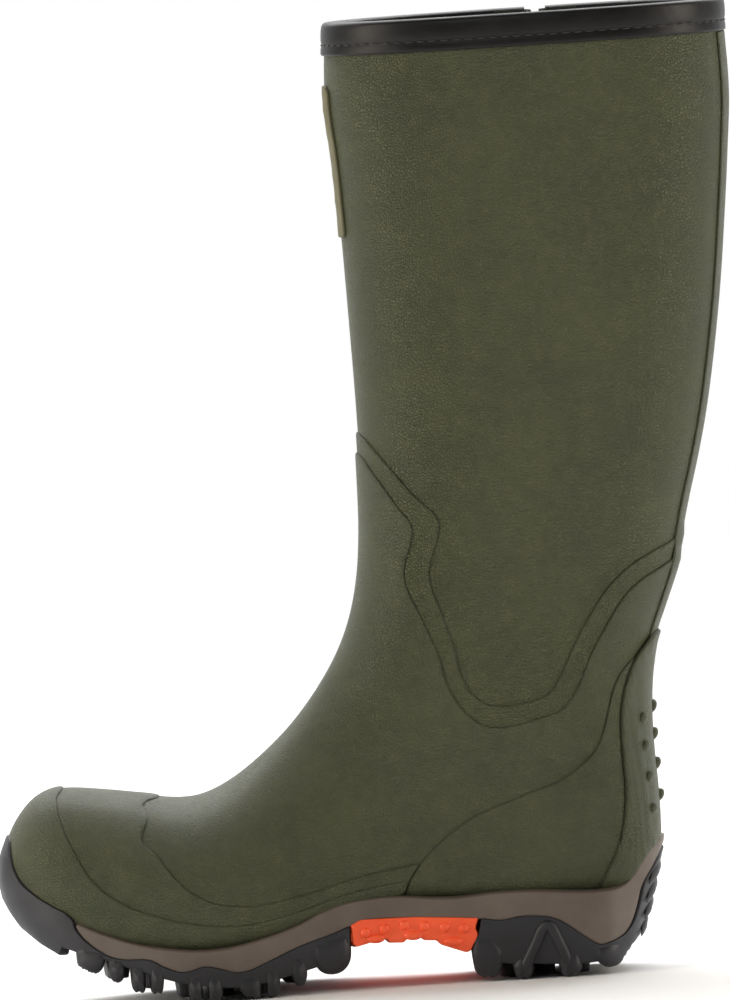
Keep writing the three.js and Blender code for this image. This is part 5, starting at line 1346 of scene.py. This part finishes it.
def rim_binding():
    """Coated tape folded over the rim from one edge of the slit to the other, puffed over its stitching."""
    profile = [*BINDING_OUTSIDE, *BINDING_INSIDE[::-1]]
    levels = [(BOOT_HEIGHT - drop, t) for t, drop in profile]
    lines = [from_slit_to_slit(rim_ring(z, t), z, CUT_GAP, 420) for z, t in levels]
    mesh = of_rings(np.swapaxes(np.array(lines), 0, 1))
    stand_for(finished("rim_binding", mesh, BLACK_BINDING, sharp=60), "rim_binding")
    z = BOOT_HEIGHT - STITCH_DROP
    line = from_slit_to_slit(rim_ring(z, -1.35), z, 3.0, 2400)
    lengths = np.concatenate([[0], np.cumsum(np.linalg.norm(np.diff(line, axis=0), axis=1))])
    count = int(lengths[-1] / (STITCH_PITCH * MM))
    at = (np.arange(count) + 0.5) * lengths[-1] / count
    index = np.clip(np.searchsorted(lengths, at), 1, len(line) - 2)
    along = line[index + 1] - line[index - 1]
    out = np.cross(along, (0, 0, 1))
    mesh = beads(line[index], out, along, STITCH_SIZE, THREAD_BLACK)
    stand_for(finished("binding_stitch", mesh, THREAD_BLACK), "binding_stitch")


def outer_side(x, z, depth):
    """The y of the shaft's outer side at one place."""
    half = rim_ring(z, depth)[SLIT_EDGE:] / MM - HOME
    return float(np.interp(-x, -half[:, 0], half[:, 1]))


CLOTH_WALL, PLEAT_DEPTH, CLOTH_FLANGE = 0.8, 14, 14
CLOTH_ACROSS, CLOTH_ROWS = 61, 96
CLOTH_DROP, PLEAT_SAG = 1.0, 8


def gusset_cloth():
    """Folded cloth behind the slit: a flange bonded each side and one deep pleat that opens upwards."""
    top, foot = BOOT_HEIGHT - CLOTH_DROP, SLIT_FOOT - CLOTH_FLANGE
    near, far, area, width_at_top = [], [], 0.0, 0.0
    for z in np.linspace(foot, top, CLOTH_ROWS):
        opening = max(0.06, (z - SLIT_FOOT) / SLIT_LENGTH)
        half = slit_half(z) + 0.3
        line = smooth_line([
            [-half - CLOTH_FLANGE, 0], [-half - CLOTH_FLANGE * 0.5, 0], [-half - 0.6, 0.1],
            [-half * 0.75 - 0.2, 1.6 * opening],
            [-0.9, opening * PLEAT_DEPTH * 0.86], [0, opening * PLEAT_DEPTH],
            [0.9, opening * PLEAT_DEPTH * 0.86],
            [half * 0.75 + 0.2, 1.6 * opening], [half + 0.6, 0.1], [half + CLOTH_FLANGE * 0.5, 0],
            [half + CLOTH_FLANGE, 0],
        ], 8)
        line = evenly(line, CLOTH_ACROSS, closed=False)
        swell = 0.35 * opening * np.sin(line[:, 1] * 0.5 + z * 0.06) * (line[:, 1] > 0.5)
        depth = INSIDE_AT + 2 * FIT_GAP + 1.7 * np.clip((z - top + 9.5) / 4, 0, 1)
        y = np.array([outer_side(SLIT_X + dx, z, depth) for dx in line[:, 0]]) - line[:, 1]
        sag = PLEAT_SAG * np.clip((line[:, 1] / (opening * PLEAT_DEPTH) - 0.6) / 0.22, 0, 1) ** 1.5
        points = np.stack([SLIT_X + line[:, 0] + swell, y, z - sag * (z - foot) / (top - foot)], 1)
        along = np.gradient(points, axis=0)
        along /= np.linalg.norm(along, axis=1, keepdims=True)
        behind = points + np.cross(along, (0, 0, 1)) * CLOTH_WALL
        near.append(points)
        far.append(behind)
        width_at_top = float(np.linalg.norm(np.diff(points, axis=0), axis=1).sum())
        area += width_at_top * (top - foot) / CLOTH_ROWS
    near, far = np.array(near), np.array(far)
    mesh = trimmed_mesh(row_frame(near), row_frame(far), np.full(near.shape[:2], 20.0), 0.1, closed=False)
    cloth = stand_for(finished("gusset_cloth", mesh, GUSSET_CLOTH, sharp=70), "gusset_cloth")


# ---- strap, tab, buckle and keeper
STRAP_Z = BOOT_HEIGHT - STRAP_DROP
HALF_STRAP = STRAP_WIDTH / 2
BAR_RADIUS, EYE_GAP, EYE_WIDTH = 1.2, 0.3, 3.4
EYE_LINE = 0.6  # from the clearance round the bar out to the middle of the prong's wall
HOLE_RADIUS = 1.9
LOOP_RADIUS = BAR_RADIUS + EYE_GAP + STRAP_WALL
FRAME_LENGTH, FRAME_RISE, FRAME_SIDE = 17, 1.9, 2.2
FRAME_HALF = HALF_STRAP + 1.6 + FRAME_SIDE
TAB_LENGTH, TAIL_LENGTH, STRAP_BACK = 34, 44, 46


def shaft_side(x):
    """The shaft's fullest line beside the strap."""
    return max(outer_side(x, STRAP_Z - HALF_STRAP - 4, 0), outer_side(x, STRAP_Z + HALF_STRAP + 4, 0))


# The bar that both hinges turn about lies at the buckle frame's low corner.
FRAME_LOW = box_in_row("buckle_frame")[0]
PIVOT = FRAME_LOW[:2] + BAR_RADIUS
FRONT_BAR = PIVOT + [FRAME_LENGTH, FRAME_RISE]


def left_of(path, distance):
    """A plan view line moved to its left."""
    along = np.gradient(path, axis=0)
    along /= np.linalg.norm(along, axis=1, keepdims=True)
    return path + distance * np.stack([-along[:, 1], along[:, 0]], 1)


def flat_band(path, thick, half_width, field, edge=0.7, step=0.45):
    """A flat band on edge along a plan view path; field says what is kept, from its length and height."""
    length = float(np.linalg.norm(np.diff(path, axis=0), axis=1).sum())
    path = evenly(path, int(length / step) + 2, closed=False)
    heights = np.arange(-half_width - step, half_width + step * 1.01, step)
    grids = []
    for line in (path, left_of(path, thick)):
        flat = np.repeat(line[:, None], len(heights), 1)
        grids.append(row_frame(np.dstack([flat, np.broadcast_to(STRAP_Z + heights, flat.shape[:2])])))
    at = np.repeat(np.linspace(0, length, len(path))[:, None], len(heights), 1)
    height = np.broadcast_to(heights, at.shape)
    return trimmed_mesh(*grids, field(at, height, length), edge, closed=False)


def along_shaft(first, last, lift, count=7):
    return [[x, shaft_side(x) + lift] for x in np.linspace(first, last, count)]


def gusset_strap():
    """The strap across the slit, lifted over the tab's loop, with its slot for the prong and two holes."""
    over_loop = LOOP_RADIUS + CUT_GAP + 0.5
    path = smooth_line([
        *along_shaft(PIVOT[0] - TAIL_LENGTH, PIVOT[0] - 11, 2 * CUT_GAP + STRAP_WALL, 6),
        [PIVOT[0] - 6, PIVOT[1] + over_loop - 2.4], [PIVOT[0] - 2.5, PIVOT[1] + over_loop - 0.1],
        [PIVOT[0] + 2.5, PIVOT[1] + over_loop - 0.1], [PIVOT[0] + 6, PIVOT[1] + over_loop - 2.6],
        [FRONT_BAR[0] - 4, shaft_side(FRONT_BAR[0] - 4) + CUT_GAP + 0.4],
        *along_shaft(FRONT_BAR[0], SLIT_X + STRAP_BACK, CUT_GAP, 9),
    ], 8)
    travel = np.concatenate([[0], np.cumsum(np.linalg.norm(np.diff(path, axis=0), axis=1))])

    def reach(x):
        return float(np.interp(x, path[:, 0], travel))

    slot = [reach(PIVOT[0] - 9.5), reach(FRONT_BAR[0] - 3)]
    holes = [reach(PIVOT[0] - past) for past in (15, 38)]

    def strap_field(at, height, length):
        whole = box_distance(at, height, (length / 2, 0), (length / 2 - 0.4, HALF_STRAP), 7.0)
        square = box_distance(at, height, (length / 2, 0), (length / 2 - 0.4, HALF_STRAP), 2.5)
        whole = np.where(at > length / 2, square, whole)
        slot_half = (slot[1] - slot[0]) / 2, EYE_WIDTH / 2 + 0.4
        opening = -box_distance(at, height, (sum(slot) / 2, 0), slot_half, HOLE_RADIUS)
        punched = [np.hypot(at - hole, height) - HOLE_RADIUS for hole in holes]
        return np.minimum.reduce([whole, opening, *punched])

    strap = flat_band(path, STRAP_WALL, HALF_STRAP, strap_field)
    stand_for(finished("gusset_strap", strap, GREEN_SMOOTH), "gusset_strap")


def buckle_tab():
    """The tab bonded to the shaft and folded round the buckle's bar."""
    turn = np.linspace(-math.pi / 2, math.pi * 0.93, 40)
    loop = PIVOT + LOOP_RADIUS * np.stack([np.cos(turn), np.sin(turn)], 1)
    start = along_shaft(PIVOT[0] - TAB_LENGTH, PIVOT[0] - 3, CUT_GAP)
    tab_path = np.vstack([start, loop])
    folded = float(np.linalg.norm(np.diff(np.array(start), axis=0), axis=1).sum())

    def tab_field(at, height, length):
        whole = box_distance(at, height, (length / 2 + 8, 0), (length / 2 + 7.6, HALF_STRAP), 4.0)
        whole = np.minimum(whole, length - 0.4 - at)
        slot_half = EYE_WIDTH / 2 + EYE_GAP + 0.2
        opening = -box_distance(at, height, (folded + 9.4, 0), (10, slot_half), 1.2)
        return np.minimum(whole, opening)

    tab = flat_band(tab_path, STRAP_WALL, HALF_STRAP, tab_field, 0.5, 0.4)
    stand_for(finished("buckle_tab", tab, GREEN_SMOOTH), "buckle_tab")


def buckle_frame():
    """The buckle's wire frame, which turns about its rear bar."""
    reach_z = FRAME_HALF - BAR_RADIUS
    span = np.linalg.norm(FRONT_BAR - PIVOT)
    lean = (FRONT_BAR - PIVOT) / span
    flat = evenly(rounded([(0, -reach_z), (span, -reach_z), (span, reach_z), (0, reach_z)], 2.6, 8), 120)
    wire = np.array([[PIVOT[0] + lean[0] * r, PIVOT[1] + lean[1] * r, STRAP_Z + z] for r, z in flat])
    frame_mesh = swept(wire, (-lean[1], lean[0], 0), oval(2 * BAR_RADIUS, 2 * BAR_RADIUS, 16), closed=True)
    stand_for(finished("buckle_frame", frame_mesh, GUNMETAL, "buckle_frame"), "buckle_frame")


def buckle_prong():
    """The prong: a flat wire curled round the bar, whose tip rests on the frame's front bar."""
    eye = BAR_RADIUS + EYE_GAP + EYE_LINE
    turn = np.linspace(math.radians(120), math.radians(-235), 44)
    ringed = PIVOT + eye * np.stack([np.cos(turn), np.sin(turn)], 1)
    tip_y = FRONT_BAR[1] + BAR_RADIUS + CUT_GAP + 0.9
    tongue = smooth_line([
        ringed[-1].tolist(), [PIVOT[0] + 1.2, PIVOT[1] + eye + 0.25],
        [PIVOT[0] + 7, PIVOT[1] + eye + 0.9], [FRONT_BAR[0] - 3, tip_y],
        [FRONT_BAR[0] + 1.6, tip_y - 0.25],
    ], 8)
    centre = np.vstack([ringed[:-1], tongue])
    centre = evenly(centre, 120, closed=False)
    prong_path = np.hstack([centre, np.full((len(centre), 1), STRAP_Z)])
    wire = rounded([(-0.55, -1.65), (0.55, -1.65), (0.55, 1.65), (-0.55, 1.65)], 0.45, 4)
    narrowing = np.clip((len(centre) - np.arange(len(centre))) / 10, 0.35, 1)
    prong = swept(prong_path, (0, 0, 1), wire, narrowing)
    stand_for(finished("buckle_prong", prong, GUNMETAL, "buckle_prong"), "buckle_prong")


def strap_keeper():
    """The hoop that holds the strap's end down."""
    low, high = box_in_row("strap_keeper")
    x, top_y = (low[0] + high[0]) / 2, high[1] - 0.7
    half = (high[2] - low[2]) / 2 - 1.3
    loop = rounded([(shaft_side(x) - 2.5, -half), (top_y, -half), (top_y, half),
        (shaft_side(x) - 2.5, half)], 2.4, 7, closed=False)
    hoop = np.array([[x, y, STRAP_Z + z] for y, z in evenly(loop, 90, closed=False)])
    band = rounded([(-0.7, -3.5), (0.7, -3.5), (0.7, 3.5), (-0.7, 3.5)], 0.6, 4)
    keeper = swept(hoop, (1, 0, 0), band)
    stand_for(finished("strap_keeper", keeper, GREEN_SMOOTH), "strap_keeper")


# ---- stiffeners, board, shank and footbed
FLOOR_LINE = [(12, 43), (45, 32.5), (100, 25), (140, 31.4), (185, 40.6), (265, 38), (284, 40.4),
    (284, -50), (12, -50)]
COUNTER_LINE = [(232, 43), (340, 43), (340, 112), (276, 112), (244, 66)]
PUFF_LINE = [(-20, 34), (70, 34), (46, 120), (-20, 120)]
FOOTBED_LINE = [
    (14, 64), (30, 50), (45, 43.6), (85, 38.4), (110, 38.8), (140, 44.4), (185, 53.6), (225, 51),
    (265, 48.4), (291, 50), (291, 0),
    (14, 0),
]


def within(outline, radius=3.0):
    smooth = rounded(outline, radius, 4)
    return lambda points: inside_of(side_view(points), smooth)


def inner_pieces():
    floor, counter, puff = within(FLOOR_LINE), within(COUNTER_LINE), within(PUFF_LINE)
    skin_piece("insole_board", INSULATION_AT, STIFFENER_WALL, FIBRE_BOARD, [floor], 0.4)
    skin_piece("heel_counter", INSULATION_AT, STIFFENER_WALL, STIFF_FELT,
        [counter, lambda p: -floor(p) - CUT_GAP], 0.4)
    skin_piece("toe_puff", INSULATION_AT, STIFFENER_WALL, STIFF_FELT,
        [puff, lambda p: -floor(p) - CUT_GAP], 0.4)
    footbed = within(FOOTBED_LINE)
    bottom = INSIDE_AT + CUT_GAP
    skin_piece("footbed_foam", bottom, FOOTBED_WALL, FOOTBED_FELT, [footbed], 0.8)
    skin_piece(
        "footbed_cover", bottom + FOOTBED_WALL + FIT_GAP, FOOTBED_COVER, LINING_KNIT,
        [footbed], 0.5,
    )
    low, high = box_in_row("steel_shank")
    outside = -CUT_GAP - 1.5 - FIT_GAP

    def plan(points):
        flat = in_row(points)
        centre, half = (low + high) / 2, (high - low) / 2
        return np.where(flat[:, 2] < 60,
            box_distance(flat[:, 0], flat[:, 1], centre[:2], half[:2], 5.0), -9.0)

    skin_piece("steel_shank", outside, 1.5, SHANK_STEEL, [plan], 0.4)


# ---- light, floor and camera
VIEW_HEIGHT = 0.46
VIEW_ROLL = math.radians(3.75)
VIEW_ELEVATION = math.radians(3.0)
VIEW_DISTANCE = 8
VIEW_TARGET = (-0.0006, 0.0, 0.2225)
ROOM_DIM, ROOM_WHITE, PAPER_WHITE = "#585855", "#ffffff", "#f7f7f7"
WARM = "#fff5e8"
FLOOR_HALF, FLOOR_GAP = 2.2, 0.0002


def camera():
    data = bpy.data.cameras.new("camera")
    data.lens = data.sensor_width * VIEW_DISTANCE / VIEW_HEIGHT
    data.clip_end = 50
    eye = bpy.data.objects.new("camera", data)
    target = Vector(VIEW_TARGET)
    back = Vector((0, -math.cos(VIEW_ELEVATION), math.sin(VIEW_ELEVATION)))
    eye.location = target + back * VIEW_DISTANCE
    turn = (-back).to_track_quat("-Z", "Y")
    eye.rotation_mode = "QUATERNION"
    roll = Vector((0, 0, 1))
    eye.rotation_quaternion = turn @ Quaternion(roll, -VIEW_ROLL)
    bpy.context.scene.collection.objects.link(eye)
    bpy.context.scene.camera = eye


def softbox(name, place, size, power, tint="#ffffff"):
    data = bpy.data.lights.new(name, "AREA")
    data.shape = "RECTANGLE"
    data.size, data.size_y = size
    data.energy = power
    data.color = colour(tint)[:3]
    lamp = bpy.data.objects.new(name, data)
    lamp.location = place
    aim = Vector((0, 0, 0.2)) - Vector(place)
    lamp.rotation_mode = "QUATERNION"
    lamp.rotation_quaternion = aim.to_track_quat("-Z", "Y")
    bpy.context.scene.collection.objects.link(lamp)


def studio():
    """A white cove behind the boot, dimmer in front, with a tall strip light each side."""
    world = bpy.data.worlds.new("white_studio")
    world.use_nodes = True
    tree = world.node_tree
    tree.nodes.clear()
    where = add(tree, "ShaderNodeTexCoord").outputs["Generated"]
    parts = add(tree, "ShaderNodeSeparateXYZ", Vector=where)
    cove = stepped(tree, parts.outputs["Y"], -0.1, 0.75)
    wall = blend_colours(tree, cove, colour(ROOM_DIM), colour(ROOM_WHITE))
    background = add(tree, "ShaderNodeBackground", Color=wall, Strength=1.0)
    add(tree, "ShaderNodeOutputWorld", Surface=background.outputs["Background"])
    bpy.context.scene.world = world
    bpy.context.scene.view_settings.view_transform = "Standard"
    softbox("left_strip", (-1.35, -0.55, 0.5), (0.4, 1.5), 16, WARM)
    softbox("right_strip", (1.5, -0.5, 0.5), (0.4, 1.5), 15, WARM)
    softbox("front_left", (-0.5, -2.6, 1.9), (1.2, 0.9), 10)
    softbox("over_floor", (0.0, 1.6, 2.4), (4.0, 2.4), 110)
    floor = bmesh.new()
    bmesh.ops.create_grid(floor, x_segments=1, y_segments=1, size=FLOOR_HALF)
    mesh = bpy.data.meshes.new("floor")
    floor.to_mesh(mesh)
    floor.free()
    material, tree = new_material("white_paper_floor")
    principled(tree, Base_Color=colour(PAPER_WHITE), Roughness=0.9)
    mesh.materials.append(material)
    piece = bpy.data.objects.new("floor", mesh)
    piece.location.z = -FLOOR_GAP
    bpy.context.scene.collection.objects.link(piece)


# ---- build
rubber_upper()
kick_guard()
back_strip()
front_badge()
midsole()
forefoot_outsole()
heel_outsole()
arch_plate()
inside_skins()
inner_pieces()
rim_binding()
gusset_cloth()
gusset_strap()
buckle_tab()
buckle_frame()
buckle_prong()
strap_keeper()
camera()
studio()
